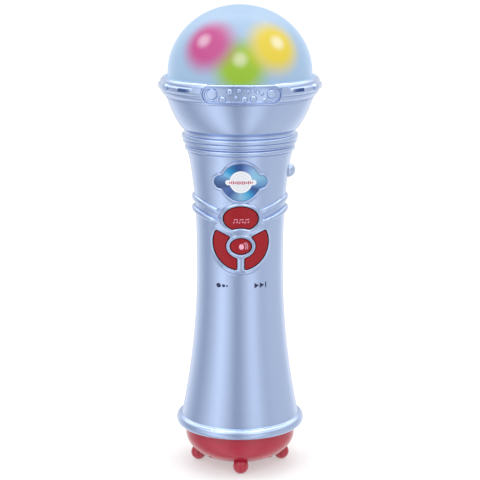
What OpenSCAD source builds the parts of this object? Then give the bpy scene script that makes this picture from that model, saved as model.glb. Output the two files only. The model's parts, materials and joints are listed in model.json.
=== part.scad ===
// Toy microphone: a hollow metallic grip that stands on four ball feet, with four front
// buttons, a ball button on its side and a light dome on its head.
// +Z points up, the buttons face -Y, and the origin lies on the ground under the axis.

/* [Grip] */
// Radius of the grip at its waist
waist_r = 22.3; // [21.8:0.1:22.8]
// Height of the waist above the ground
waist_z = 107; // [105:1:109]
// How much wider the grip is where it meets the base ring
flare_low = 8.3; // [8:0.1:8.6]
// How much wider the grip is where it meets the neck
flare_top = 3.5; // [3.3:0.1:3.8]
// Wall thickness of the two grip shells
wall = 2; // [1.9:0.05:2.1]
// Radius of the round section of the slanted ribs
rib_r = 1.35; // [1:0.05:1.5]
// Tilt of the slanted ribs against the horizontal
rib_tilt = 19; // [17:1:21]

/* [Head] */
// Outer radius of the dome at its foot
dome_r = 36.6; // [36:0.1:36.8]
// Height of the top of the dome
total_h = 240; // [239:0.5:242]
// Wall thickness of the dome
dome_wall = 1.6; // [1.2:0.1:2]
// Radius of the circle that the three lamps stand on
lamp_circle_r = 20; // [18:0.5:22]

/* [Buttons] */
// How far a front button travels
key_travel = 1.2; // [0.8:0.1:1.2]
// How far the side button travels
side_travel = 1.2; // [0.8:0.1:1.2]
// Gap between a button and the edge of its opening
key_gap = 0.35; // [0.3:0.05:0.5]
// How far a button stands proud of the grip
key_proud = 1.1; // [0.9:0.1:1.3]
// How far a button's flange reaches past its edge
key_flange = 0.8; // [0.6:0.1:0.8]
// Radius of the ball on the side button
side_ball_r = 3.7; // [3.2:0.1:3.8]

/* [Base] */
// Radius of the circle that the feet stand on
foot_circle_r = 21.9; // [21:0.1:22.5]
// Radius of a ball foot
foot_r = 4.1; // [3.8:0.1:4.3]
// Radius of the loudspeaker
speaker_r = 19.5; // [19:0.1:19.5]

/* [Battery] */
// Radius of an AAA cell
cell_r = 5.25; // [5.1:0.05:5.25]
// Length of an AAA cell
cell_len = 44.5; // [43.5:0.1:44.5]
// Half of the width of the battery door's opening
door_half_w = 15; // [14.5:0.1:15.5]

/* [Hidden] */
$fn = 48;
slack = 0.1;                    // gap between pieces of one body
eps = 0.01;

// Heights, from the ground up
cup_bend_z = 16.8;
cup_top_z = 21.2;
spigot_top_z = 23.5;
cup_floor_z = 3.5;
ring_low_z = 21.3;
ring_z = 24.05;
ring_top_z = 26.6;
neck_z = 162;
bowl_z = 178.6;
collar_z = 193.5;
lip_top_z = 201.2;
collar_mid_z = 200;
panel_z = 122.8;
demo_z = 135.2;
rhythm_z = 121;
badge_z = 153.9;
side_key_z = 156;

// Radii
ring_r = 33.4;
ring_tube_r = ring_z - ring_low_z;
cup_r = 28.6;
bowl_foot_r = 29.9;
bowl_top_r = 37;
collar_r = 41.5;
lip_r = 35;
spigot_r = 27.2;

// The waisted outline of the grip
function grip_r(z) = z > waist_z
    ? waist_r + flare_top * pow((z - waist_z) / (neck_z - waist_z), 2.7)
    : waist_r + flare_low * pow((waist_z - z) / (waist_z - ring_top_z), 2);

// Points on an arc about [x, z]
function arc(x, z, r, from, to, steps) =
    [for (i = [0:steps]) let (a = from + (to - from) * i / steps) [x + r * cos(a), z + r * sin(a)]];

// Points on an ellipse about [x, z]
function ellipse_points(x, z, a, b, count = 40) =
    [for (i = [0:count - 1]) [x + a * cos(360 * i / count), z + b * sin(360 * i / count)]];

// Points on the grip's outline between two heights, moved out by d
function grip_points(low, high, steps, d = 0) =
    [for (i = [0:steps]) let (z = low + (high - low) * i / steps) [grip_r(z) + d, z]];

// Base ring, grip, neck with its two beads, bowl, and the lip inside the collar
bead_1_z = 167.6;
bead_2_z = 174.1;
shell_outside = concat(
    arc(ring_r - ring_tube_r, ring_z, ring_tube_r, -90, 72, 12),
    grip_points(ring_top_z, neck_z, 16),
    [[26.9, 164.9]],
    arc(26.8, bead_1_z, 1.5, -60, 75, 5),
    [[28.3, 170], [29.1, 170.7], [29.1, 172]],
    arc(28.3, bead_2_z, 1.7, -60, 65, 5),
    [[28.6, 176.6]],
    [for (i = [0:6]) let (t = i / 6)
        [bowl_foot_r + (bowl_top_r - bowl_foot_r) * (t + 0.28 * t * (1 - t)),
         bowl_z + (collar_z - bowl_z) * (t - 0.12 * t * (1 - t))]],
    [[lip_r, collar_z], [lip_r, lip_top_z]]);
// The inside of the grip, top down, and the hollow of the base ring
grip_inside = let (p = grip_points(ring_top_z + 2.8, neck_z, 12, -wall)) [for (i = [12:-1:0]) p[i]];
ring_inside = [[ring_r - 5.2, 27.2], [ring_r - 4, 25.5], [ring_r - 4, 23.8],
               [ring_r - 5.8, 23.2], [ring_r - 5.8, ring_low_z]];
head_inside = [[lip_r - wall, lip_top_z], [lip_r - wall, 190.5], [bowl_foot_r - wall, 179.4],
               [26.6, 176.2], [26.6, 167]];
shell_section = concat(shell_outside, head_inside, grip_inside, ring_inside);

// Battery compartment
cell_y = [9.6, 13, 9.6];
cell_pitch = 10.8;
box_low_z = 46.5;
box_end = 1.5;
box_high_z = 98;
door_low_z = 47;
door_high_z = 103;
door_screw_z = 100.5;

// Screw positions [x, z] on the grip's rear, and the pieces' shared screw sizes
shell_screw_at = [[17, 40], [16, 146], [22, 184]];
screw_r = 1.2;
screw_head_r = 2.5;
base_screw_circle_r = 22.8;
base_screw_head_r = 2.2;
base_screw_seat_z = 9.5;

// Boards
board_y = -10.5;
board_t = 1.2;
board_screw_at = [[9, 106], [9, 145]];
pad_t = 1.2;
pad_dome_h = 0.9;
pad_y = board_y - 0.05 - pad_t;
pad_dome_y = pad_y - pad_dome_h;
key_posts = [[0, 134.9], [-9.5, 120], [9.5, 120], [0, rhythm_z]];
side_key_x = 24.7;
switch_x = side_key_x - 4.5 - side_travel - 0.3;
switch_board_x = switch_x - 5.8;
board_low_z = 104;
board_high_z = 147;
board_half_w = 12;
lamp_board_z = 196;
lamp_board_r = 25.6;
tray_z = lip_top_z + 0.15;
tray_t = 1.4;
tray_post_circle_r = 13;
lamp_angles = [-90, 30, 150];
lamp_r = 5;
lamp_low_z = 203.7;
lamp_centre_z = 213;
microphone_turn = -43;
microphone_z = 197.2;

// ---- Shared shapes ----

// A front-view outline, drawn in X and Z, pushed along Y from y0 to y1
module through_y(y0, y1) {
    translate([0, y1, 0]) rotate([90, 0, 0]) linear_extrude(y1 - y0) children();
}

// A sleeve that follows the grip between two offsets from its outer surface
module grip_band(low, high, inner, outer, steps = 6) {
    inside = grip_points(low, high, steps, inner);
    rotate_extrude()
        polygon(concat(grip_points(low, high, steps, outer),
                       [for (i = [steps:-1:0]) inside[i]]));
}

module board_screw_places() {
    for (side = [-1, 1], at = board_screw_at)
        translate([at[0] * side, 0, at[1]]) children();
}

module bar_y(x, z, r, y0, y1) {
    translate([x, y0, z]) rotate([-90, 0, 0]) cylinder(r = r, h = y1 - y0);
}

// A straight round rod between two points
module rod(from, to, r) {
    step = to - from;
    length = norm(step);
    translate(from)
        rotate([0, acos(step[2] / length), atan2(step[1], step[0])])
            cylinder(r = r, h = length);
}

// A round wire along a list of points
module wire(points, r = 0.6) {
    for (i = [0:len(points) - 2])
        rod(points[i], points[i + 1], r);
    for (i = [1:len(points) - 2])
        translate(points[i]) sphere(r = 1.15 * r, $fn = 24);
}

// A pan-head screw with its head's top at z = 0 and its shank pointing down
module screw(length, head_r = screw_head_r, head_h = 1.6) {
    translate([0, 0, -head_h]) difference() {
        cylinder(r = head_r, h = head_h);
        for (turn = [0, 90])
            rotate([0, 0, turn]) translate([-1.4, -0.25, head_h - 0.8]) cube([2.8, 0.5, 1]);
    }
    translate([0, 0, -head_h - length]) cylinder(r = screw_r, h = length + eps);
    translate([0, 0, -head_h - length - 1]) cylinder(r1 = 0.3, r2 = screw_r, h = 1 + eps);
}

// ---- Outlines of the front panel, in X and Z. grow moves the edge out ----

module demo_outline(grow = 0) {
    difference() {
        polygon(ellipse_points(0, demo_z, 8.4 + grow, 6.15 + grow));
        translate([0, rhythm_z]) circle(r = 9.6 - grow);
    }
}

module record_outline(grow = 0) {
    top_slope = 24.5;
    difference() {
        polygon(ellipse_points(0, panel_z, 13.3 + grow, 14 + grow));
        polygon(ellipse_points(0, rhythm_z, 7.4 - grow, 6.5 - grow));
        translate([-1.95 + grow, panel_z - 20]) square([40, 40]);
        translate([-5.5, 125.9 + grow]) rotate(-top_slope) translate([-30, 0]) square([60, 20]);
    }
}

module rhythm_outline(grow = 0) {
    polygon(ellipse_points(0, rhythm_z, 5.1 + grow, 4 + grow, 32));
}

module badge_outline(grow = 0) {
    translate([0, badge_z]) circle(r = 9.6 + grow);
    for (side = [-1, 1])
        translate([9.8 * side, badge_z]) circle(r = 3.3 + grow);
}

module panel_outline() {
    polygon(ellipse_points(0, demo_z, 10.6, 8));
    intersection() {
        polygon(ellipse_points(0, panel_z, 14.9, 16.6));
        translate([-20, 100]) square([40, 31]);
    }
}

// ---- Grip ----

module half_shell(turn) {
    rotate([0, 0, turn]) rotate_extrude(angle = 180) polygon(shell_section);
}

// One slanted rib: part of a ring in a plane that tilts up towards the side of the grip
module slanted_rib(side, height, front) {
    ring_r = 23.2;
    shift = 1.9;
    reach = 68;
    mirror([side < 0 ? 1 : 0, 0, 0])
        mirror([0, front ? 0 : 1, 0])
            translate([0, 0, height])
                rotate([0, -rib_tilt, 0])
                    translate([shift, 0, 0]) {
                        rotate([0, 0, -reach])
                            rotate_extrude(angle = reach) translate([ring_r, 0]) circle(r = rib_r);
                        rotate([0, 0, -reach]) translate([ring_r, 0, 0]) sphere(r = rib_r);
                    }
}

module ribs(front) {
    for (side = [-1, 1], height = [134.6, 128.9])
        slanted_rib(side, height, front);
}

// The hole that the side button works in, shared by both shells at their seam
module side_key_hole() {
    translate([15, 0, side_key_z]) rotate([0, 90, 0]) cylinder(r = side_ball_r + key_gap, h = 20);
}

// Screw posts inside a shell, from the seam to the wall
module screw_posts(r, y0, y1) {
    within_shell()
        for (side = [-1, 1], at = shell_screw_at)
            bar_y(at[0] * side, at[1], r, y0, y1);
}

// Keeps what lies inside the outer surface of the shells
module within_shell() {
    intersection() {
        children();
        rotate_extrude() polygon(concat([[0, ring_low_z]], shell_outside, [[0, lip_top_z]]));
    }
}

// A plate from the shell's wall that holds one edge of the side switch's board
module switch_rail(direction) {
    within_shell() mirror([0, direction < 0 ? 1 : 0, 0])
        difference() {
            translate([switch_board_x - 1, 5.8, side_key_z - 3]) cube([board_t + 2, 20, 6]);
            translate([switch_board_x - 0.05, 0, side_key_z - 4]) cube([board_t + 0.1, 7.05, 8]);
        }
}

module front_shell() {
    color([0.69, 0.76, 0.88])
    difference() {
        union() {
            half_shell(180);
            ribs(true);
            intersection() {
                grip_band(104, 166, -1, 0.9, 10);
                through_y(-40, -5) {
                    panel_outline();
                    badge_outline(1.4);
                }
            }
            screw_posts(3, -40, -slack / 2);
            base_bosses([-135, -45]);
            switch_rail(-1);
            within_shell() board_screw_places() bar_y(0, 0, 2, -30, board_y - slack);
        }
        intersection() {
            grip_band(140, 166, -0.9, 3);
            through_y(-40, -5) badge_outline();
        }
        through_y(-40, -5) {
            demo_outline(key_gap);
            record_outline(key_gap);
            mirror([1, 0]) record_outline(key_gap);
            rhythm_outline(key_gap);
        }
        side_key_hole();
        for (side = [-1, 1], at = shell_screw_at)
            bar_y(at[0] * side, at[1], screw_r + 0.02, -12, 1);
        board_screw_places() bar_y(0, 0, 0.95, board_y - 7, board_y + 1);
        base_pilots();
        rotate([0, 0, microphone_turn]) bar_y(0, microphone_z + 1.7, 1.2, -37, -30);
    }
}

module base_bosses(angles) {
    for (a = angles)
        rotate([0, 0, a]) {
            translate([base_screw_circle_r, 0, 20]) cylinder(r = 2.5, h = 12);
            translate([base_screw_circle_r, -0.8, 24]) cube([5.9, 1.6, 7]);
        }
}

module base_pilots() {
    for (a = [45:90:315])
        rotate([0, 0, a]) translate([base_screw_circle_r, 0, 19]) cylinder(r = screw_r + 0.02, h = 9);
}

module rear_shell() {
    color([0.67, 0.74, 0.87])
    difference() {
        union() {
            half_shell(0);
            ribs(false);
            screw_posts(3.8, slack / 2, 40);
            base_bosses([45, 135]);
            switch_rail(1);
        }
        for (side = [-1, 1], at = shell_screw_at) {
            bar_y(at[0] * side, at[1], screw_r + 0.3, -1, 20);
            bar_y(at[0] * side, at[1], screw_head_r + 0.3, 5, 45);
        }
        through_y(5, 40) translate([-door_half_w, door_low_z])
            square([2 * door_half_w, door_high_z - door_low_z]);
        side_key_hole();
        base_pilots();
    }
}

// ---- Head ----

collar_section = concat(
    [[bowl_top_r + 0.1, collar_z + 0.05], [38, 195], [39.8, 197]],
    arc(collar_r - 2, collar_mid_z, 2, -50, 50, 6),
    [[39, 204.2], [37.4, 206.2], [dome_r + 0.3, 206.2], [dome_r + 0.3, 204.6], [39, 204.6],
     [39, lip_top_z + 0.1], [lip_r + slack, lip_top_z + 0.1], [lip_r + slack, collar_z + 0.05]]);

// The sleeve that the raised relief is cut from: it stays clear of the dome's flange
cartouche_section = [[37.6, 194], [42.4, 194], [42.4, 206], [39.3, 206], [39.3, 201], [37.6, 201]];

// The rounded oblong of the collar's relief
module cartouche_outline(grow = 0) {
    for (side = [-1, 1])
        translate([14.2 * side, collar_mid_z]) circle(r = 4.7 + grow);
    translate([-14.2, collar_mid_z - 4.7 - grow]) square([28.4, 9.4 + 2 * grow]);
}

module collar() {
    color([0.72, 0.80, 0.91])
    difference() {
        union() {
            rotate_extrude() polygon(collar_section);
            for (turn = [0, 180])
                rotate([0, 0, turn]) {
                    intersection() {
                        rotate_extrude() polygon(cartouche_section);
                        through_y(-50, -20) cartouche_outline();
                    }
                    for (side = [-1, 1])
                        rotate([0, 0, 63 * side]) bar_y(0, 200.7, 1.6, -42.3, -40.5);
                }
        }
        for (turn = [0, 180])
            rotate([0, 0, turn]) {
                difference() {
                    through_y(-50, -30) cartouche_outline(-1.1);
                    cylinder(r = 41.7, h = total_h);
                }
                for (side = [-1, 1])
                    rotate([0, 0, 43 * side])
                        translate([-4, -50, 199.7]) cube([8, 20, 1.6]);
            }
    }
}

// The dome's outline is a quarter ellipse that stands on its flange
dome_centre_z = 206;
function dome_points(a, b, steps) =
    [for (i = [0:steps]) [a * cos(90 * i / steps), dome_centre_z + b * sin(90 * i / steps)]];

module dome() {
    outside = dome_points(dome_r, total_h - dome_centre_z, 14);
    inside = dome_points(dome_r - dome_wall, total_h - dome_centre_z - dome_wall, 14);
    flange_z = [202.8, 204.5];
    color([0.72, 0.83, 0.93, 0.6])
    rotate_extrude()
        polygon(concat([[35, flange_z[0]], [38.7, flange_z[0]], [38.7, flange_z[1]], [dome_r, flange_z[1]]],
                       outside, [for (i = [14:-1:0]) inside[i]]));
}

module light_tray() {
    rise = 1;
    color([0.9, 0.93, 0.97])
    difference() {
        union() {
            rotate_extrude()
                polygon([[0, tray_z], [38.6, tray_z], [38.6, tray_z + tray_t], [31, tray_z + tray_t],
                         [28, tray_z + tray_t + rise], [0, tray_z + tray_t + rise]]);
            tray_post_places() translate([0, 0, lamp_board_z + board_t + 0.05])
                cylinder(r = 2.6, h = tray_z - lamp_board_z - board_t);
        }
        for (a = lamp_angles)
            rotate([0, 0, a]) translate([lamp_circle_r, 0, 190]) cylinder(r = lamp_r + 0.2, h = 30);
        tray_post_places() translate([0, 0, lamp_board_z]) cylinder(r = screw_r + 0.02, h = 6.3);
    }
}

module tray_post_places() {
    for (a = lamp_angles)
        rotate([0, 0, a + 60]) translate([tray_post_circle_r, 0, 0]) children();
}

module tray_screws() {
    color("silver")
    tray_post_places() translate([0, 0, lamp_board_z - 1.65]) rotate([180, 0, 0]) screw(4.4, 2.2);
}

module lamp_board() {
    color([0.16, 0.42, 0.24])
    difference() {
        translate([0, 0, lamp_board_z]) cylinder(r = lamp_board_r, h = board_t);
        tray_post_places() translate([0, 0, lamp_board_z - 1]) cylinder(r = screw_r + 0.1, h = 4);
        for (a = lamp_angles, lead = [-1, 1])
            rotate([0, 0, a]) translate([lamp_circle_r + 1.27 * lead, 0, lamp_board_z - 1])
                cylinder(r = 0.45, h = 4);
    }
}

module lamp(angle) {
    rotate([0, 0, angle]) translate([lamp_circle_r, 0, 0]) {
        translate([0, 0, lamp_low_z]) cylinder(r = lamp_r, h = lamp_centre_z - lamp_low_z);
        translate([0, 0, lamp_centre_z]) sphere(r = lamp_r);
        for (lead = [-1, 1])
            translate([1.27 * lead, 0, lamp_board_z - 0.8]) cylinder(r = 0.3, h = 8);
    }
}

module green_lamp() {
    color([0.68, 0.79, 0.42]) lamp(lamp_angles[0]);
}

module yellow_lamp() {
    color([0.91, 0.84, 0.4]) lamp(lamp_angles[1]);
}

module pink_lamp() {
    color([0.82, 0.43, 0.65]) lamp(lamp_angles[2]);
}

// The microphone looks out through the slot to the left of the cartouche
module microphone_capsule() {
    color([0.75, 0.75, 0.77])
    rotate([0, 0, microphone_turn]) {
        bar_y(0, microphone_z, 3, -31.4, -26.8);
        for (lead = [-1, 1])
            bar_y(0.9 * lead, microphone_z, 0.25, -26.9, -26.1);
    }
}

module microphone_sleeve() {
    color([0.12, 0.12, 0.13])
    rotate([0, 0, microphone_turn])
        difference() {
            bar_y(0, microphone_z, 3.9, -32.4, -27);
            bar_y(0, microphone_z, 3.05, -31.5, -26);
            bar_y(0, microphone_z, 1.2, -33, -30);
        }
}

// ---- Front panel ----

module badge_plate() {
    color([0.1, 0.55, 0.76])
    intersection() {
        grip_band(140, 166, -0.85, 0.25);
        through_y(-40, -5) badge_outline(-0.15);
    }
}

// A button cap: its face follows the grip, and its flange keeps it in the shell
module key(low, high, post) {
    intersection() {
        grip_band(low, high, -3, key_proud);
        through_y(-40, -5) children(0);
    }
    intersection() {
        grip_band(low - 2, high + 2, -wall - 1.5, -wall - 0.4);
        through_y(-40, -5) children(1);
    }
    within_band(low, high) bar_y(post[0], post[1], 1.6, -24, pad_dome_y - 0.3 - key_travel);
}

// Keeps what lies inside a button's flange
module within_band(low, high) {
    intersection() {
        children();
        grip_band(low - 2, high + 2, -20, -wall - 0.5);
    }
}

module demo_button() {
    color([0.6, 0.16, 0.18]) key(127, 144, key_posts[0]) {
        demo_outline();
        demo_outline(key_flange);
    }
}

module record_button() {
    color([0.6, 0.16, 0.18]) key(106, 131, key_posts[1]) {
        record_outline();
        record_outline(key_flange);
    }
}

module play_button() {
    color([0.6, 0.16, 0.18]) mirror([1, 0, 0]) key(106, 131, key_posts[1]) {
        record_outline();
        record_outline(key_flange);
    }
}

module rhythm_button() {
    color([0.66, 0.18, 0.22]) key(115, 127, key_posts[3]) {
        rhythm_outline();
        rhythm_outline(key_flange);
    }
}

// Rubber sheet with a dome under each button, shown at its pressed height
module key_pad() {
    color([0.85, 0.85, 0.82]) {
        translate([-11.5, pad_y, 108.5]) cube([23, pad_t, 34]);
        for (at = key_posts)
            bar_y(at[0], at[1], 2, pad_dome_y, pad_y + eps);
    }
}

module main_board() {
    color([0.16, 0.42, 0.24])
    difference() {
        translate([-board_half_w, board_y, board_low_z])
            cube([2 * board_half_w, board_t, board_high_z - board_low_z]);
        board_screw_places() bar_y(0, 0, 1.1, board_y - 1, board_y + 3);
    }
}

module sound_chip() {
    color([0.08, 0.08, 0.09]) {
        translate([-4.5, board_y + board_t + 0.05, 122]) cube([9, 1.4, 9]);
        for (side = [-1, 1], i = [0:4])
            translate([side > 0 ? 4.5 - eps : -6.5 + eps, board_y + board_t + 0.05, 123 + 1.6 * i])
                cube([2, 0.4, 0.7]);
    }
}

module capacitors() {
    color([0.15, 0.2, 0.35])
    for (at = [[-7.8, 113], [0, 112], [7.4, 135.4]])
        bar_y(at[0], at[1], 2.5, board_y + board_t + 0.05, board_y + board_t + 7);
}

module board_screws() {
    head_y = board_y + board_t + 0.05;
    color("silver")
    board_screw_places() {
        bar_y(0, 0, 2.1, head_y, head_y + 1.6);
        bar_y(0, 0, 0.9, head_y - 6, head_y + eps);
    }
}

// ---- Side button ----

module side_button() {
    color([0.86, 0.89, 0.94])
    translate([side_key_x, 0, side_key_z]) {
        sphere(r = side_ball_r);
        rotate([0, -90, 0]) cylinder(r = 2.4, h = 4.5);
        translate([-4.4, 0, 0]) rotate([0, 90, 0]) cylinder(r = 4.9, h = 1);
    }
}

module side_switch() {
    color([0.1, 0.1, 0.1]) {
        translate([switch_x - 1.2, 0, side_key_z]) rotate([0, 90, 0]) cylinder(r = 1.7, h = 1.2);
        translate([switch_x - 4.6, -3, side_key_z - 3]) cube([3.5, 6, 6]);
    }
    color([0.16, 0.42, 0.24])
        translate([switch_board_x, -7, side_key_z - 5]) cube([board_t + eps, 14, 10]);
}

// ---- Battery compartment ----

module cell_places() {
    for (i = [0:2])
        translate([cell_pitch * (i - 1), cell_y[i]]) children();
}

module battery_box() {
    color([0.2, 0.2, 0.22])
    difference() {
        union() {
            difference() {
                translate([-17, 2.4, box_low_z]) cube([34, 8.2, box_high_z - box_low_z]);
                translate([0, 0, box_low_z + box_end])
                    linear_extrude(box_high_z - box_low_z - 2 * box_end)
                        cell_places() {
                            circle(r = cell_r + 0.25);
                            translate([-cell_r - 0.25, 0]) square([2 * cell_r + 0.5, 10]);
                        }
            }
            translate([-17, 2.4, box_high_z - eps]) cube([34, 3, 6]);
            bar_y(0, door_screw_z + 1, 3.4, 2.4 + eps, 16.5);
        }
        bar_y(0, door_screw_z, screw_r + 0.75, 12, 17);
    }
}

// The middle cell stands the other way up, so its spring is at the bottom
cell_low_z = box_low_z + box_end + 0.45;
spring_h = 3.1;
spring_wire_r = 0.28;

module battery_cells() {
    color([0.75, 0.6, 0.25])
    for (i = [0:2]) {
        flipped = i == 1;
        translate([cell_pitch * (i - 1), cell_y[i], cell_low_z + (flipped ? spring_h : 0)]) {
            translate([0, 0, flipped ? 0 : 1]) cylinder(r = cell_r, h = cell_len - 1);
            translate([0, 0, flipped ? cell_len - 1 - eps : 0]) cylinder(r = 1.9, h = 1 + eps);
        }
    }
}

// A conical coil: rings of points that climb and narrow, joined into one skin
module coil_spring(turns = 2.5, per_turn = 12, sides = 5) {
    rings = round(turns * per_turn);
    rise = spring_h - 0.2 - 2 * spring_wire_r;
    points = [for (k = [0:rings], s = [0:sides - 1])
        let (a = 360 * k / per_turn, r = 3.8 - 1.5 * k / rings + spring_wire_r * cos(360 * s / sides))
        [r * cos(a), r * sin(a), spring_wire_r + rise * k / rings + spring_wire_r * sin(360 * s / sides)]];
    skin = [for (k = [0:rings - 1], s = [0:sides - 1])
        let (next = (s + 1) % sides)
        [k * sides + s, (k + 1) * sides + s, (k + 1) * sides + next, k * sides + next]];
    polyhedron(points, concat(skin, [[for (s = [0:sides - 1]) s],
                                     [for (s = [sides - 1:-1:0]) rings * sides + s]]));
}

module battery_springs() {
    color("silver")
    for (i = [0:2])
        translate([cell_pitch * (i - 1), cell_y[i],
                   i == 1 ? box_low_z + box_end + 0.45 : cell_low_z + cell_len + 0.05])
            coil_spring();
}

module battery_contacts() {
    color([0.8, 0.8, 0.82])
    for (i = [0:2], z = [box_low_z + box_end + 0.03, box_high_z - box_end - 0.38])
        translate([cell_pitch * (i - 1) - 4, cell_y[i] - 4, z]) cube([8, 8, 0.35]);
}

module battery_door() {
    tab_y = 20.9;
    color([0.67, 0.74, 0.87])
    difference() {
        union() {
            intersection() {
                grip_band(door_low_z - 1, door_high_z + 1, -wall, 0, 8);
                through_y(5, 40) translate([-door_half_w + 0.3, door_low_z + 0.3])
                    square([2 * door_half_w - 0.6, door_high_z - door_low_z - 0.6]);
            }
            intersection() {
                bar_y(0, door_screw_z, 3.2, 17.2, 21);
                translate([-5, 15, door_low_z]) cube([10, 10, door_high_z - door_low_z - 0.3]);
            }
            for (side = [-1, 1])
                translate([8 * side - 3, tab_y, 44]) {
                    cube([6, 1.3, 7]);
                    translate([0, 0, 4]) cube([6, 3, 3]);
                }
        }
        bar_y(0, door_screw_z, screw_r + 0.1, 10, 30);
        bar_y(0, door_screw_z, screw_head_r + 0.1, 20.4, 30);
    }
}

module door_screw() {
    color("silver")
    translate([0, 22.05, door_screw_z]) rotate([-90, 0, 0]) screw(5.6, screw_head_r, 1.6);
}

module shell_screws() {
    color("silver")
    for (side = [-1, 1], at = shell_screw_at)
        translate([at[0] * side, 6.65, at[1]]) rotate([-90, 0, 0]) screw(13);
}

// ---- Base ----

// The cup's outline is a quarter ellipse about [12, cup_bend_z] with a flat floor
function cup_points(inset, steps) =
    arc_scaled(12, cup_bend_z, cup_r - 12 - inset, cup_bend_z - cup_floor_z - inset, steps);
function arc_scaled(x, z, a, b, steps) =
    [for (i = [0:steps]) [x + a * sin(90 * i / steps), z - b * cos(90 * i / steps)]];

module base_cup() {
    inside = cup_points(wall, 8);
    color([0.7, 0.24, 0.31])
    difference() {
        union() {
            rotate_extrude()
                polygon(concat([[0, cup_floor_z]], cup_points(0, 10),
                               [[cup_r + 0.1, cup_top_z], [spigot_r + 0.2, cup_top_z],
                                [spigot_r + 0.2, spigot_top_z], [spigot_r - 1.6, spigot_top_z]],
                               [for (i = [8:-1:0]) inside[i]], [[0, cup_floor_z + wall]]));
            translate([0, 0, cup_floor_z + 0.5]) difference() {
                cylinder(r = speaker_r - 0.2, h = 5);
                translate([0, 0, -1]) cylinder(r = speaker_r - 2.2, h = 9);
            }
            for (a = [45:90:315])
                rotate([0, 0, a]) translate([base_screw_circle_r, 0, 7.5]) cylinder(r = 3.05, h = 12.4);
        }
        for (a = [45:90:315])
            rotate([0, 0, a]) translate([base_screw_circle_r, 0, 0]) {
                cylinder(r = base_screw_head_r + 0.15, h = base_screw_seat_z);
                cylinder(r = screw_r + 0.2, h = 30);
            }
        translate([0, 0, cup_floor_z - 1]) {
            cylinder(r = 1.2, h = 4);
            for (ring = [1:3], i = [0:6 * ring - 1])
                rotate([0, 0, 360 * i / (6 * ring)]) translate([4.2 * ring, 0, 0]) cylinder(r = 1.1, h = 4);
        }
        for (a = [0:90:270])
            rotate([0, 0, a]) translate([foot_circle_r, 0, 0]) {
                translate([0, 0, foot_r - 0.15]) sphere(r = foot_r + 0.02);
                cylinder(r = 1.52, h = 12);
            }
    }
}

module ball_feet() {
    color([0.7, 0.22, 0.3])
    for (a = [0:90:270])
        rotate([0, 0, a]) translate([foot_circle_r, 0, 0])
            difference() {
                union() {
                    translate([0, 0, foot_r - 0.15]) sphere(r = foot_r);
                    translate([0, 0, foot_r]) cylinder(r = 1.5, h = 5.6);
                }
                translate([-10, -10, -20]) cube([20, 20, 20]);
            }
}

module base_screws() {
    color("silver")
    for (a = [45:90:315])
        rotate([0, 0, a]) translate([base_screw_circle_r, 0, base_screw_seat_z - 1.65])
            rotate([180, 0, 0]) screw(16.5, base_screw_head_r);
}

module speaker_gasket() {
    color([0.15, 0.15, 0.16])
    translate([0, 0, 9.05]) difference() {
        cylinder(r = speaker_r - 0.3, h = 0.8);
        translate([0, 0, -1]) cylinder(r = speaker_r - 2.4, h = 3);
    }
}

module speaker_basket() {
    color([0.7, 0.7, 0.72])
    rotate_extrude()
        polygon([[speaker_r - 2.1, 9.9], [speaker_r - 0.3, 9.9], [speaker_r - 0.3, 10.9],
                 [speaker_r - 1.7, 10.9], [12, 17.5], [9.6, 18.6], [6.2, 18.6], [6.2, 17.8],
                 [9.2, 17.8], [11.4, 16.8]]);
}

module speaker_magnet() {
    color([0.2, 0.2, 0.2])
    translate([0, 0, 18.65]) {
        difference() {
            cylinder(r = 9, h = 6);
            translate([0, 0, -1]) cylinder(r = 4.3, h = 4);
        }
        translate([0, 0, -2.4]) cylinder(r = 2.9, h = 6);
    }
}

module speaker_cone() {
    rim_r = speaker_r - 2.9;
    color([0.25, 0.25, 0.27])
    rotate_extrude()
        polygon([[0, 13.4], [3, 13.2], [4.2, 13.8], [rim_r, 9.95], [rim_r, 10.4], [4, 14.6], [4, 18.9],
                 [3.4, 18.9], [3.4, 14.2], [0, 13.9]]);
}

module speaker_wires() {
    color("firebrick")
        wire([[10, -4, 18.6], [15, -6, 26], [12, -12, 40], [7, -9, 88], [5.4, -8.5, 108]]);
    color("black")
        wire([[-10, -4, 18.6], [-15, -6, 26], [-12, -12, 40], [-7, -9, 88], [-5.4, -8.5, 108]]);
}

module battery_wires() {
    color("red") wire([[4, 1.7, 96], [4, -3, 104], [4, -6, 112], [4, -8.6, 118]]);
    color("black") wire([[-4, 1.7, 96], [-4, -3, 104], [-4, -6, 110], [-4, -8.6, 118]]);
}

module lamp_wires() {
    color("gold")
    for (i = [0:3])
        wire([[2.2 * i - 3.3, -8.7, 141], [2.2 * i - 3.3, -4, 152], [2.2 * i - 3.3, -3, 180],
              [2.2 * i - 3.3, -6, lamp_board_z - 0.1]], 0.5);
}

// Wires from the side switch and from the microphone to the main board
module sensor_wires() {
    color("white") {
        rod([switch_board_x - 0.8, 4, 152.6], [6, -8.7, 141], 0.5);
        rod([switch_board_x - 0.8, 2, 154.6], [4.8, -8.7, 143], 0.5);
        rotate([0, 0, microphone_turn])
            for (shift = [-0.85, 0.85])
                wire([[shift, -26.2, microphone_z - 0.5], [shift - 0.2, -25.9, 191.5], [shift, -21, 184],
                      [shift - 0.4, -11.3, 160], [shift + 0.6, -8.3, 150], [shift + 1.9, -9.6, 141.5]],
                     0.35);
    }
}

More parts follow.
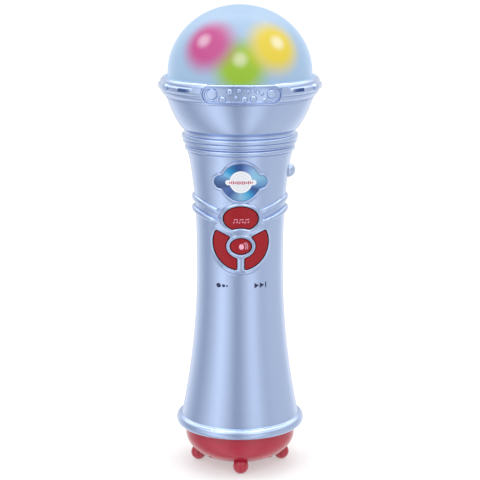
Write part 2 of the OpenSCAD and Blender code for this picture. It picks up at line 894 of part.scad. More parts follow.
front_shell();
rear_shell();
collar();
dome();
light_tray();
lamp_board();
green_lamp();
yellow_lamp();
pink_lamp();
tray_screws();
microphone_capsule();
microphone_sleeve();
badge_plate();
demo_button();
record_button();
play_button();
rhythm_button();
key_pad();
main_board();
sound_chip();
capacitors();
board_screws();
side_button();
side_switch();
battery_box();
battery_cells();
battery_springs();
battery_contacts();
battery_door();
door_screw();
shell_screws();
base_cup();
ball_feet();
base_screws();
speaker_gasket();
speaker_basket();
speaker_magnet();
speaker_cone();
speaker_wires();
battery_wires();
lamp_wires();
sensor_wires();
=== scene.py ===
"""Looks of the toy microphone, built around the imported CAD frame.

Lengths in the tables and helpers are in millimetres, and MM turns them into metres.
+Z is up, -Y is the front with the badge and the buttons.
"""

import json
import math

import bpy
import numpy as np
from mathutils import Matrix, Vector
from mathutils.geometry import delaunay_2d_cdt


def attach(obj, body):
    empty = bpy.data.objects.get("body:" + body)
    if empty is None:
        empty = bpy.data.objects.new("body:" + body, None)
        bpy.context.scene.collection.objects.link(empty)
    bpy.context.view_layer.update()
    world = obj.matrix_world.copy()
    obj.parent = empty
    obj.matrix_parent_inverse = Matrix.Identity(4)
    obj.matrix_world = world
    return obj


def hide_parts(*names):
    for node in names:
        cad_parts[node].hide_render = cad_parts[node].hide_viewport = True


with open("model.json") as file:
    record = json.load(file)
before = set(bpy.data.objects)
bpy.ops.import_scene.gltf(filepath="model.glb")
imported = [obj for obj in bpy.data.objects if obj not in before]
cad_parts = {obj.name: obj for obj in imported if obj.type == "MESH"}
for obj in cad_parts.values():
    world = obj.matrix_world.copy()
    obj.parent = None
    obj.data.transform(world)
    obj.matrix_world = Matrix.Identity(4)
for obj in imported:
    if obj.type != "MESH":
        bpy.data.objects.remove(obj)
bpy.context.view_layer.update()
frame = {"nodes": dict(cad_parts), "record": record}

MM = 0.001
WAIST_Z = 107
BADGE_Z = 153.9
DEMO_Z = 135.2
PANEL_Z = 122.8
RHYTHM_Z = 121
SIDE_KEY_Z = 156
SIDE_HOLE_R = 4.05
UNROLL_R = 23.0          # radius at which a half of the grip is laid out flat
WALL = 2.0
HOLES_STRAIGHT_X = 15.5  # up to here the walls of holes run straight back
KEYS_STRAIGHT_X = 18
SHARP_ANGLE = math.radians(38)


# ---- Camera ----

camera_data = bpy.data.cameras.new("photo_camera")
camera_data.lens = 115.07
camera_data.sensor_width = 36
camera = bpy.data.objects.new("photo_camera", camera_data)
bpy.context.scene.collection.objects.link(camera)
camera.matrix_world = (
    Matrix.Rotation(math.radians(-1.05), 4, "Z")
    @ Matrix.Translation((0, -0.77491, 0.29033))
    @ Matrix.Rotation(math.radians(77.55), 4, "X")
)
bpy.context.scene.camera = camera


# ---- Flat shapes: outlines are closed loops of points [x, z] ----

def arc(x, z, radius, start, end, steps):
    angles = np.radians(np.linspace(start, end, steps + 1))
    return np.stack([x + radius * np.cos(angles), z + radius * np.sin(angles)], 1)


def ellipse(x, z, a, b, count=160):
    angles = np.linspace(0, 2 * math.pi, count, endpoint=False)
    return np.stack([x + a * np.cos(angles), z + b * np.sin(angles)], 1)


def resample(points, spacing, closed=True):
    points = np.asarray(points, float)
    if closed:
        points = np.vstack([points, points[:1]])
    steps = np.hypot(*np.diff(points, axis=0).T)
    along = np.concatenate([[0], np.cumsum(steps)])
    count = max(int(round(along[-1] / spacing)), 8 if closed else 2)
    at = np.linspace(0, along[-1], count + 1)
    if closed:
        at = at[:-1]
    return np.stack([np.interp(at, along, points[:, i]) for i in (0, 1)], 1)


def rounded(points, radius, spacing=0.25):
    """Rounds the corners of a loop to about the given radius."""
    loop = resample(points, spacing)
    for _ in range(int(round(2 * (radius / spacing) ** 2 * 0.35)) + 1):
        loop = 0.25 * np.roll(loop, 1, 0) + 0.5 * loop + 0.25 * np.roll(loop, -1, 0)
    return loop


def area(loop):
    x, z = loop.T
    return 0.5 * float(np.sum(x * np.roll(z, -1) - z * np.roll(x, -1)))


def chunks(points, low, high):
    """Indices of the points within the limits, up to 4000 at a time."""
    near = np.nonzero(((points >= low) & (points <= high)).all(1))[0]
    return [near[start:start + 4000] for start in range(0, len(near), 4000)]


def distance(points, loop, closed=True, reach=np.inf):
    """Distance from each point to a polyline, or 1e9 for points clearly out of reach."""
    points = np.asarray(points, float)
    best = np.full(len(points), 1e9)
    a = loop if closed else loop[:-1]
    b = np.roll(loop, -1, 0) if closed else loop[1:]
    (ax, az), (dx, dz) = a.T, (b - a).T
    length2 = np.maximum(dx ** 2 + dz ** 2, 1e-12)
    for part in chunks(points, loop.min(0) - reach, loop.max(0) + reach):
        x = points[part, 0, None] - ax
        z = points[part, 1, None] - az
        t = np.clip((x * dx + z * dz) / length2, 0, 1)
        best[part] = np.sqrt(((x - t * dx) ** 2 + (z - t * dz) ** 2).min(1))
    return best


def inside(points, loop):
    points = np.asarray(points, float)
    a, b = loop, np.roll(loop, -1, 0)
    result = np.zeros(len(points), bool)
    for part in chunks(points, loop.min(0), loop.max(0)):
        x, z = points[part, 0, None], points[part, 1, None]
        spans = (a[:, 1] > z) != (b[:, 1] > z)
        rise = np.where(b[:, 1] == a[:, 1], 1e-12, b[:, 1] - a[:, 1])
        cross = a[:, 0] + (z - a[:, 1]) * (b[:, 0] - a[:, 0]) / rise
        result[part] = (spans & (x < cross)).sum(1) % 2 == 1
    return result


def signed(points, loop, reach=6):
    """Distance to a loop, negative inside it, for points within reach."""
    return np.where(inside(points, loop), -1, 1) * distance(points, loop, True, reach)


def offset(loop, by):
    """The loop moved outwards, with any knots taken out."""
    if by == 0:
        return loop
    along = np.roll(loop, -1, 0) - np.roll(loop, 1, 0)
    along /= np.maximum(np.hypot(*along.T), 1e-9)[:, None]
    outward = np.stack([along[:, 1], -along[:, 0]], 1) * (1 if area(loop) > 0 else -1)
    moved = loop + by * outward
    return moved[distance(moved, loop) > abs(by) - 0.03]


def smooth_step(t):
    t = np.clip(t, 0, 1)
    return t * t * (3 - 2 * t)


def dome_bump(d, half_width):
    """A round ridge: 1 in the middle, 0 from half_width on."""
    return np.sqrt(np.clip(1 - (d / half_width) ** 2, 0, 1))


def spline(points, per_span=6):
    """A smooth line through the points."""
    p = np.asarray(points, float)
    p = np.vstack([2 * p[0] - p[1], p, 2 * p[-1] - p[-2]])
    out = []
    for i in range(1, len(p) - 2):
        for t in np.linspace(0, 1, per_span, endpoint=False):
            a, b, c, d = p[i - 1:i + 3]
            out.append(0.5 * (2 * b + (c - a) * t + (2 * a - 5 * b + 4 * c - d) * t ** 2
                              + (3 * b - a - 3 * c + d) * t ** 3))
    out.append(p[-2])
    return np.array(out)


# ---- Outlines of the front panel ----

def demo_outline():
    lobe = ellipse(0, DEMO_Z, 8.4, 6.15, 400)
    notch_r = 9.6
    from_notch = np.hypot(lobe[:, 0], lobe[:, 1] - RHYTHM_Z)
    start = int(np.argmax((from_notch > notch_r) & (np.roll(from_notch, 1) <= notch_r)))
    kept = np.roll(lobe, -start, 0)
    kept = kept[np.hypot(kept[:, 0], kept[:, 1] - RHYTHM_Z) > notch_r]
    corner = math.degrees(math.atan2(kept[-1, 1] - RHYTHM_Z, kept[-1, 0]))
    notch = arc(0, RHYTHM_Z, notch_r, corner, 180 - corner, 30)
    return rounded(np.vstack([kept, notch[1:-1]]), 0.9)


def wing_outline(side):
    """The record button is the wing on side -1, the play button the one on side 1."""
    slope = math.tan(math.radians(24.5))
    edge_x = -1.95

    def kept(points):
        below = points[:, 1] < 125.9 - slope * (points[:, 0] + 5.5)
        return points[(points[:, 0] < edge_x) & below]

    outer = kept(arc(0, 0, 1, 90, 270, 360) * [13.3, 14] + [0, PANEL_Z])
    inner = arc(0, 0, 1, 270, 90, 360) * [7.4, 6.5] + [0, RHYTHM_Z]
    loop = rounded(np.vstack([outer, kept(inner)]), 0.85)
    return loop if side < 0 else (loop * [-1, 1])[::-1]


def polar(angles, radius, middle_z):
    return np.stack([radius * np.cos(angles), middle_z + radius * np.sin(angles)], 1)


def badge_outline():
    angles = np.linspace(0, 2 * math.pi, 720, endpoint=False)
    c = np.abs(np.cos(angles))
    lobe_x, lobe_r, disc_r = 9.8, 3.3, 9.6
    reach = c ** 2 * lobe_x ** 2 - lobe_x ** 2 + lobe_r ** 2
    lobe = np.where(reach > 0, c * lobe_x + np.sqrt(np.maximum(reach, 0)), 0)
    return rounded(polar(angles, np.maximum(disc_r, lobe), BADGE_Z), 0.9)


def panel_outline():
    angles = np.linspace(0, 2 * math.pi, 1440, endpoint=False)
    middle_z = 124
    radius = np.linspace(2, 26, 1400)
    x = radius[None, :] * np.cos(angles)[:, None]
    z = middle_z + radius[None, :] * np.sin(angles)[:, None]
    wings = ((x / 14.9) ** 2 + ((z - PANEL_Z) / 16.6) ** 2 < 1) & (z < 131 + 0.1 * np.abs(x))
    crown = (x / 10.6) ** 2 + ((z - DEMO_Z) / 8) ** 2 < 1
    last = np.where(wings | crown, radius, 0).max(1)
    return rounded(polar(angles, last, middle_z), 0.8)


DEMO = demo_outline()
RECORD = wing_outline(-1)
PLAY = wing_outline(1)
RHYTHM = rounded(ellipse(0, RHYTHM_Z, 5.1, 4), 0.2)
BADGE = badge_outline()
PANEL = panel_outline()
KEY_GAP = 0.4


# ---- Surfaces: a radius for each height, and reliefs on it ----

def grip_r(z):
    z = np.asarray(z, float)
    upper = 22.3 + 3.5 * np.abs((z - WAIST_Z) / 55) ** 2.7
    lower = 22.3 + 7.4 * ((WAIST_Z - z) / 75.8) ** 2
    return np.where(z > WAIST_Z, upper, lower)


def grip_rows(low, high, step):
    z = np.linspace(low, high, int(round((high - low) / step)) + 1)
    return np.stack([grip_r(z), z], 1)


RING = np.vstack([
    [[29.2, 21.3], [29.9, 21.32]],
    arc(30.65, 24.05, 2.75, -82, 66, 26),
    [[31.3, 26.72], [30.85, 26.82], [30.62, 26.95], [30.55, 27.2]],
])
BEADS = np.vstack([
    spline([[25.8, 162], [26.3, 164], [26.75, 165.6], [27.0, 166.6]], 4),
    [[26.9, 166.85], [26.75, 167.1], [26.85, 167.3]],
    arc(26.8, 168.4, 1.35, -50, 60, 12),
    [[27.25, 169.8], [27.7, 169.9], [28.1, 170.0], [28.2, 170.15], [28.15, 170.3]],
    [[28.05, 170.5], [28.2, 170.7]],
    spline([[28.6, 170.9], [28.95, 171.2], [29.05, 171.7], [29.0, 172.3], [28.7, 172.75]], 4),
    [[28.55, 172.95], [28.6, 173.05]],
    arc(28.2, 174.2, 1.55, -45, 62, 14),
    spline([[28.6, 175.75], [28.25, 176.3], [28.4, 177.0], [28.95, 177.8], [29.9, 178.6]], 5),
])


def bowl_rows():
    t = np.linspace(0, 1, 22)[1:]
    r = 29.9 + 7.1 * (t + 0.28 * t * (1 - t))
    z = 178.6 + 14.9 * (t - 0.12 * t * (1 - t))
    return np.stack([r, z], 1)


PROFILE = np.vstack([RING, grip_rows(28, 161.5, 1.05), BEADS, bowl_rows()])


def shell_r(z):
    return np.interp(z, PROFILE[:, 1], PROFILE[:, 0])


RIB_SLOPE = math.tan(math.radians(19))
RIB_COS = math.cos(math.radians(19))
RIB_HEIGHTS = (134.6, 128.9)
RIB_HALF = 1.6
RIB_LINES = (-1.62, -1.5, -1.2, -0.7, 0, 0.7, 1.2, 1.5, 1.62)
RIB_HIGHS = (1.35, 1.85)


def ribs(x, z, fade):
    best = np.zeros_like(x)
    for height, high in zip(RIB_HEIGHTS, RIB_HIGHS):
        d = (z - height - RIB_SLOPE * np.abs(x)) * RIB_COS
        best = np.maximum(best, high * dome_bump(d, RIB_HALF) * fade)
    return best


def opening(loop):
    return offset(loop, KEY_GAP)


FRONT_OPENINGS = [opening(DEMO), opening(RECORD), opening(PLAY), opening(RHYTHM)]
RIMS = [(0.6, 0.45, 0.4), (0.5, 0.4, 0.32), (0.5, 0.4, 0.32), (0.95, 0.65, 0.5)]
PAD_HIGH = 0.9
BADGE_FLOOR = -0.85


def front_relief(x, z):
    """Height of the front's relief over the grip."""
    at = np.stack([x, z], 1)
    to_panel = signed(at, PANEL)
    pad = PAD_HIGH * smooth_step((0.55 - to_panel) / 0.8)
    rim = np.zeros_like(x)
    for loop, (crest, width, high) in zip(FRONT_OPENINGS, RIMS):
        d = signed(at, loop)
        rim = np.maximum(rim, high * np.exp(-((d - crest) / width) ** 2))
    rise = pad + rim * smooth_step((0.4 - to_panel) / 0.8)
    to_badge = signed(at, BADGE)
    frame_ring = 1.05 * dome_bump(to_badge - 0.74, 0.86)
    fade = 0.35 + 0.65 * smooth_step(to_panel / 3.0)
    fade = fade * smooth_step((np.abs(x) - 8.5) / 1.5)
    rise = np.maximum(np.maximum(rise, ribs(x, z, fade)), frame_ring)
    return np.where(to_badge < -0.03, BADGE_FLOOR, rise)


def rear_relief(x, z):
    fade = smooth_step((np.abs(x) - 8.6) / 2.4)
    return ribs(x, z, fade)


# ---- Meshes ----

def add_object(name, points, faces):
    mesh = bpy.data.meshes.new(name)
    mesh.from_pydata([tuple(p) for p in points], [], [tuple(int(i) for i in f) for f in faces])
    mesh.validate()
    mesh.polygons.foreach_set("use_smooth", [True] * len(mesh.polygons))
    mesh.set_sharp_from_angle(angle=SHARP_ANGLE)
    mesh.update()
    obj = bpy.data.objects.new(name, mesh)
    bpy.context.scene.collection.objects.link(obj)
    return obj


def region(border, contours, holes, grid, keep_off):
    """Triangles over a flat region that follow the contour lines and leave the holes open."""
    loops = [(border, True)] + [(h, True) for h in holes] + contours
    keep = inside(grid, border)
    for hole in holes:
        keep &= ~inside(grid, hole)
    for loop, closed in loops:
        keep &= distance(grid, loop, closed, keep_off) > keep_off
    verts, edges = [], []
    for loop, closed in loops:
        base = len(verts)
        verts += [Vector(p) for p in loop]
        count = len(loop)
        edges += [(base + i, base + i + 1) for i in range(count - 1)]
        if closed:
            edges.append((base + count - 1, base))
    verts += [Vector(p) for p in grid[keep]]
    flat, _, tris, _, _, _ = delaunay_2d_cdt(verts, edges, [], 0, 1e-5)
    flat = np.array([[p.x, p.y] for p in flat])
    tris = np.array([t for t in tris if len(t) == 3])
    middle = flat[tris].mean(1)
    kept = inside(middle, border)
    for hole in holes:
        kept &= ~inside(middle, hole)
    tris = tris[kept]
    a, b, c = (flat[tris[:, i]] for i in range(3))
    turn = (b[:, 0] - a[:, 0]) * (c[:, 1] - a[:, 1]) - (b[:, 1] - a[:, 1]) * (c[:, 0] - a[:, 0])
    tris = tris[np.abs(turn) > 1e-9]
    turn = turn[np.abs(turn) > 1e-9]
    tris[turn < 0] = tris[turn < 0][:, ::-1]
    used = np.unique(tris)
    renumber = np.full(len(flat), -1)
    renumber[used] = np.arange(len(used))
    return flat[used], renumber[tris]


def closed_sheet(name, outer, inner, faces, flip=False):
    """A solid between an outer and an inner sheet that share their faces."""
    faces = [tuple(int(i) for i in f) for f in faces]
    count = len(outer)
    directed = {(f[i], f[(i + 1) % len(f)]) for f in faces for i in range(len(f))}
    rims = [(a, b) for a, b in directed if (b, a) not in directed]
    solid = list(faces) + [tuple(i + count for i in reversed(f)) for f in faces]
    solid += [(b, a, a + count, b + count) for a, b in sorted(rims)]
    if flip:
        solid = [tuple(reversed(f)) for f in solid]
    points = np.vstack([outer, inner]) * MM
    return add_object(name, points, solid)


def to_rear(obj):
    for vertex in obj.data.vertices:
        vertex.co.y = -vertex.co.y
    obj.data.update()


def wrap(flat, radius):
    """Points of the unrolled half on a surface of the given radius, front side."""
    angle = flat[:, 0] / UNROLL_R
    return np.stack([radius * np.sin(angle), -radius * np.cos(angle), flat[:, 1]], 1)


def under(outer, radius, straight):
    """Points on a smaller radius below those of the outer sheet.

    Up to the distance straight from the middle they lie exactly behind in Y, the way a
    button is pressed. Beyond it they turn towards the axis.
    """
    x = outer[:, 0]
    toward_axis = radius * x / np.hypot(outer[:, 0], outer[:, 1])
    share = smooth_step((np.abs(x) - straight) / 4)
    x = x * (1 - share) + toward_axis * share
    return np.stack([x, -np.sqrt(np.maximum(radius ** 2 - x ** 2, 0)), outer[:, 2]], 1)


def unroll(loop, base=shell_r):
    """Front-view points [x, z] laid out flat."""
    r = base(loop[:, 1])
    u = UNROLL_R * np.arcsin(np.clip(loop[:, 0] / r, -0.9999, 0.9999))
    return np.stack([u, loop[:, 1]], 1)


def front_x(flat, base=shell_r):
    return base(flat[:, 1]) * np.sin(flat[:, 0] / UNROLL_R)


HALF_TURN = UNROLL_R * math.pi / 2
COLUMNS = np.linspace(-HALF_TURN, HALF_TURN, 97)


def rib_lines():
    """The ridges of the ribs on the unrolled half, as lines at steps across each rib."""
    lines = []
    for height in RIB_HEIGHTS:
        for across in RIB_LINES:
            u = np.linspace(9.0, HALF_TURN, 60)
            z = np.full_like(u, height + 8)
            for _ in range(6):
                z = height + across / RIB_COS + RIB_SLOPE * shell_r(z) * np.sin(u / UNROLL_R)
            for side in (-1, 1):
                lines.append((np.stack([side * u, z], 1), False))
    return lines


def side_hole():
    """The side button's hole in the unrolled half, around the seam."""
    ring = arc(0, 0, SIDE_HOLE_R, 0, 360, 48)[:-1]
    r = shell_r(SIDE_KEY_Z + ring[:, 1])
    u = UNROLL_R * (math.pi / 2 + np.arcsin(ring[:, 0] / r))
    return np.stack([u, SIDE_KEY_Z + ring[:, 1]], 1)


def half_shell(name, low, high, relief, contours, holes, flip, keep_off=0.32):
    """One half of the grip with its neck, bowl and base ring, as a closed shell."""
    rows = PROFILE[:, 1]
    mid_rows = rows[(rows > low + 0.3) & (rows < high - 0.3)]
    border = np.vstack([
        [[u, low] for u in COLUMNS],
        [[HALF_TURN, z] for z in mid_rows],
        [[u, high] for u in COLUMNS[::-1]],
        [[-HALF_TURN, z] for z in mid_rows[::-1]],
    ])
    grid = np.array([[u, z] for z in mid_rows for u in COLUMNS[1:-1]])
    seam = HALF_TURN - 0.3
    contours = contours + [(np.array([[s * seam, z] for z in mid_rows]), False) for s in (-1, 1)]
    flat, faces = region(border, contours, holes, grid, keep_off)
    points, all_faces = [flat], [[tuple(f) for f in faces]]
    base = len(flat)
    for part in (rows[rows < low], rows[rows > high]):
        part = np.append(part, low) if part[0] < low else np.insert(part, 0, high)
        n = len(COLUMNS)
        points.append(np.array([[u, z] for z in part for u in COLUMNS]))
        all_faces.append([(base + i * n + j, base + i * n + j + 1,
                           base + (i + 1) * n + j + 1, base + (i + 1) * n + j)
                          for i in range(len(part) - 1) for j in range(n - 1)])
        base += len(part) * n
    flat = np.vstack(points)
    faces = [f for group in all_faces for f in group]
    # equal points of neighbouring bands become one
    keys, first, back = {}, [], np.zeros(len(flat), int)
    for i, (u, z) in enumerate(flat):
        key = (round(u, 4), round(z, 4))
        if key not in keys:
            keys[key] = len(first)
            first.append(i)
        back[i] = keys[key]
    flat = flat[first]
    faces = [tuple(back[list(f)]) for f in faces]
    faces = [f for f in faces if len(set(f)) == len(f)]
    x = front_x(flat)
    r = shell_r(flat[:, 1])
    rise = relief(x, flat[:, 1])
    groove = 0.16 * (1 - smooth_step((HALF_TURN - np.abs(flat[:, 0])) / 0.3))
    outer = wrap(flat, r + rise - groove)
    inner = under(outer, r - WALL, HOLES_STRAIGHT_X)
    obj = closed_sheet(name, outer, inner, faces, flip)
    if flip:
        to_rear(obj)
    return obj


def rings_about(loop, steps):
    return [(unroll(offset(loop, by)), True) for by in steps]


front_contours = rib_lines()
front_contours += rings_about(PANEL, (0.6, 0.35, 0.1, -0.2))
for loop, steps in zip(FRONT_OPENINGS, (
        (0.3, 0.6, 1.0), (0.25, 0.5, 0.85), (0.25, 0.5, 0.85), (0.45, 0.95, 1.5))):
    front_contours += rings_about(loop, steps)
front_contours += rings_about(BADGE, (1.62, 1.5, 1.25, 0.74, 0.3, 0.1, 0, -0.07))
front_skin = half_shell("front_grip_skin", 100, 166, front_relief, front_contours,
                        [unroll(loop) for loop in FRONT_OPENINGS] + [side_hole()], False)

# Rear: screw wells and the opening of the battery door
WELLS = [(side * x, z) for side in (-1, 1) for x, z in ((17, 40), (16, 146), (22, 184))]
WELL_R = 2.8
WELL_FLOOR_Y = 5
DOOR_HALF, DOOR_LOW, DOOR_HIGH = 15, 47, 103
DOOR_SCREW_Z, DOOR_WELL_R = 100.5, 2.6


def box_outline(half, low, high, radius):
    corners = [[-half, low], [half, low], [half, high], [-half, high]]
    return rounded(np.array(corners, float), radius, 0.4)


door_hole = box_outline(DOOR_HALF, DOOR_LOW, DOOR_HIGH, 1.2)
well_holes = [unroll(ellipse(x, z, WELL_R, WELL_R, 36)) for x, z in WELLS]
rear_contours = rib_lines() + rings_about(door_hole, (0.5,))
rear_skin = half_shell("rear_grip_skin", 34, 192, rear_relief, rear_contours,
                       [unroll(door_hole)] + well_holes + [side_hole()], True)


# ---- Raised pieces that follow the grip ----

def panel_piece(name, loop, top, bottom, edge, crown=0.0, rear=False, holes=(), pattern=None):
    """A piece with the front-view outline given, from height bottom to top over the grip.

    Its upper edge is rounded by edge, and its face bulges by crown.
    """
    spacing = 0.45 if abs(area(loop)) > 12 else 0.22
    spacing = 1.0 if abs(area(loop)) > 600 else spacing
    low, high = loop.min(0), loop.max(0)
    xs = np.arange(low[0], high[0], spacing)
    zs = np.arange(low[1], high[1], spacing)
    grid = np.array([[x, z] for z in zs for x in xs])
    steps = [-edge * s for s in (0.12, 0.35, 0.65, 1.0)]
    contours = [offset(loop, s) for s in steps]
    contours = [(unroll(c), True) for c in contours if len(c) > 6]
    flat, faces = region(unroll(loop), contours, [unroll(h) for h in holes], unroll(grid),
                         min(0.3 * spacing, 0.5 * edge))
    x = front_x(flat)
    at = np.stack([x, flat[:, 1]], 1)
    depth = distance(at, loop)
    for hole in holes:
        depth = np.minimum(depth, distance(at, hole))
    t = np.clip(depth / edge, 0, 1)
    drop = edge * (1 - np.sqrt(1 - (1 - t) ** 2))
    bulge = crown * smooth_step(depth / 3.0)
    rise = top - drop + bulge
    if pattern is not None:
        rise = rise + pattern(x, flat[:, 1]) * smooth_step((depth - edge) / edge)
    r = shell_r(flat[:, 1]) if rear else grip_r(flat[:, 1])
    outer = wrap(flat, r + rise)
    obj = closed_sheet(name, outer, under(outer, r + bottom, KEYS_STRAIGHT_X), faces, rear)
    if rear:
        to_rear(obj)
    return obj


KEY_TOP, KEY_LOW = 1.15, -2.9
demo_cap = panel_piece("demo_cap", DEMO, KEY_TOP, KEY_LOW, 0.55, 0.2)
record_cap = panel_piece("record_cap", RECORD, KEY_TOP, KEY_LOW, 0.5, 0.1)
play_cap = panel_piece("play_cap", PLAY, KEY_TOP, KEY_LOW, 0.5, 0.1)
rhythm_cap = panel_piece("rhythm_cap", RHYTHM, KEY_TOP, KEY_LOW, 0.55, 0.2)


def join(name, pieces):
    """Several meshes as one piece."""
    points, faces, base = [], [], 0
    for piece in pieces:
        mesh = piece.data
        points += [tuple(v.co) for v in mesh.vertices]
        faces += [tuple(base + i for i in p.vertices) for p in mesh.polygons]
        base = len(points)
        bpy.data.objects.remove(piece)
    return add_object(name, points, faces)


def symbol(name, loops, bottom, high):
    """Small raised marks, one for each outline."""
    parts = [panel_piece(f"{name}_{i}", loop, bottom + high, bottom, min(0.12, high))
             for i, loop in enumerate(loops)]
    return join(name, parts)


def disc(x, z, r, b=None):
    return ellipse(x, z, r, b or r, max(24, int(r * 30)))


def polygon(points, radius=0.12):
    return rounded(np.array(points, float), radius, 0.08)


def stroke(points, width):
    """A loop round an open line of points."""
    line = resample(points, 0.15, closed=False)
    along = np.gradient(line, axis=0)
    along /= np.hypot(*along.T)[:, None]
    side = np.stack([along[:, 1], -along[:, 0]], 1) * width / 2
    return np.vstack([line + side, (line - side)[::-1]])


def note_marks(x, z, size):
    """A pair of joined quavers."""
    s = size
    return [
        disc(x - 0.95 * s, z - 0.95 * s, 0.42 * s, 0.34 * s),
        disc(x + 0.85 * s, z - 0.65 * s, 0.42 * s, 0.34 * s),
        polygon([[x + a * s, z + b * s] for a, b in (
            (-0.72, -0.95), (-0.54, -0.95), (-0.54, 0.72), (1.08, 1.0),
            (1.08, -0.65), (1.26, -0.65), (1.26, 1.42), (-0.72, 1.08))], 0.05),
    ]


demo_symbol = symbol("demo_symbol", [
    m for x in (-2.6, 0.1, 2.8) for m in note_marks(x, 134.1, 0.85)], KEY_TOP + 0.1, 0.16)
rhythm_symbol = symbol("rhythm_symbol", [
    disc(0.3, 120.9, 1.2, 1.45),
    stroke(arc(0.4, 121, 2.1, -38, 62, 14), 0.36),
    stroke(arc(0.4, 121, 2.9, -30, 50, 14), 0.3),
], KEY_TOP + 0.1, 0.16)

# Record and play marks printed on the grip under the wings
record_marks = symbol("record_marks", [
    disc(-11.2, 100.1, 1.15),
    disc(-8.7, 100.1, 0.8),
    disc(-7.0, 100.1, 0.5),
], -0.02, 0.07)
play_marks = symbol("play_marks", [
    polygon([[x, 98.8], [x, 101.6], [x + 2.4, 100.2]], 0.15) for x in (6.9, 9.6)
] + [polygon([[12.4, 98.8], [13.0, 98.8], [13.0, 101.6], [12.4, 101.6]], 0.05)], -0.02, 0.07)

# Badge: foil plate, white disc, pill and a row of level bars
badge_foil = panel_piece("badge_foil_plate", offset(BADGE, -0.04), 0.2, -0.84, 0.08)
badge_disc = panel_piece("badge_disc", disc(0, BADGE_Z + 0.2, 5.65), 0.42, 0.15, 0.14)
PILL_Z = BADGE_Z - 0.1
pill_loop = np.vstack([arc(6.25, PILL_Z, 1.38, -90, 90, 16),
                       arc(-6.25, PILL_Z, 1.38, 90, 270, 16)])
badge_pill = panel_piece("badge_pill", resample(pill_loop, 0.3), 0.62, 0.15, 0.12)
BAR_LEVELS = (0.45, 0.7, 0.95, 0.6, 0.85, 1.0, 0.75, 1.0, 0.85, 0.6, 0.95, 0.7, 0.45)
BAR_STEP, BAR_HALF = 0.92, 0.27
badge_bars = symbol("badge_bars", [
    polygon([[BAR_STEP * (i - 6) + a * BAR_HALF, PILL_Z + b * 0.92 * level]
             for a, b in ((-1, -1), (1, -1), (1, 1), (-1, 1))], 0.06)
    for i, level in enumerate(BAR_LEVELS)], 0.6, 0.1)
badge_rings = symbol("badge_rings", [
    stroke(arc(0, BADGE_Z + 0.2, r, start, start + 130, 24), 0.16)
    for r in (3.0, 4.3) for start in (25, 205)], 0.4, 0.06)


def door_pattern(x, z):
    """Finger ridges under the screw."""
    ridge = sum(dome_bump(z - (86 + 2.2 * i), 0.7) for i in range(4))
    return 0.45 * ridge * (np.abs(x) < 8 - 0.35 * np.abs(z - 89.3))


DOOR_GAP = 0.3
door_panel = panel_piece(
    "battery_door_panel",
    box_outline(DOOR_HALF - DOOR_GAP, DOOR_LOW + DOOR_GAP, DOOR_HIGH - DOOR_GAP, 1.1),
    0.0, -WALL, 0.35, 0, True,
    [ellipse(0, DOOR_SCREW_Z, DOOR_WELL_R, DOOR_WELL_R, 36)], door_pattern)


# ---- Turned pieces ----

def lathe(name, profile, steps=144, matrix=None, closed=True):
    """A closed profile of points [radius, height] turned about the Z axis."""
    profile = np.asarray(profile, float)
    angles = np.linspace(0, 2 * math.pi, steps, endpoint=False)
    points, index = [], []
    for r, z in profile:
        if r < 1e-6:
            index.append([len(points)] * steps)
            points.append((0, 0, z * MM))
        else:
            index.append(list(range(len(points), len(points) + steps)))
            points += [(r * math.cos(a) * MM, r * math.sin(a) * MM, z * MM) for a in angles]
    faces = []
    count = len(profile)
    for i in range(count if closed else count - 1):
        a, b = index[i], index[(i + 1) % count]
        for j in range(steps):
            k = (j + 1) % steps
            face = []
            for v in (a[j], a[k], b[k], b[j]):
                if v not in face:
                    face.append(v)
            if len(face) > 2:
                faces.append(face)
    obj = add_object(name, points, faces)
    if matrix is not None:
        obj.data.transform(matrix)
        if matrix.determinant() < 0:
            obj.data.flip_normals()
    return obj


def around(radius, degrees):
    """Places [x, y] on a circle."""
    return [(radius * math.cos(a), radius * math.sin(a)) for a in np.radians(degrees)]


# Dome: a quarter ellipse on a flange
DOME_A, DOME_B, DOME_Z = 36.6, 34.0, 206
quarter = np.radians(np.linspace(0, 90, 49))
dome_outer = np.stack([DOME_A * np.cos(quarter), DOME_Z + DOME_B * np.sin(quarter)], 1)
DOME_WALL = 1.6
dome_inner = np.stack([(DOME_A - DOME_WALL) * np.cos(quarter),
                       DOME_Z + (DOME_B - DOME_WALL) * np.sin(quarter)], 1)[::-1]
dome_outer[-1, 0] = 0
dome_inner[0, 0] = 0
light_dome = lathe("light_dome", np.vstack([
    [[35, 202.8], [38.6, 202.8], [38.6, 204.4], [DOME_A, 204.5]], dome_outer, dome_inner]), 192)

# Feet and side button
foot = np.vstack([[[0, 0.0]], arc(0, 3.95, 4.1, -74.5, 88, 40), [[0, 8.05]]])
feet = join("feet_balls", [
    lathe(f"foot_{i}", foot, 64, Matrix.Translation((x * MM, y * MM, 0)))
    for i, (x, y) in enumerate(around(21.9, [0, 90, 180, 270]))])
ball = np.vstack([[[0, -4.4], [4.9, -4.4], [4.9, -3.4], [2.4, -3.4]],
                  arc(0, 0, 3.7, -48, 90, 40)[:-1], [[0, 3.7]]])
side_ball = lathe("side_ball", ball, 72, Matrix.Translation((24.7 * MM, 0, SIDE_KEY_Z * MM))
                  @ Matrix.Rotation(math.radians(90), 4, "Y"))


SCREW_HOLE_R = 1.45


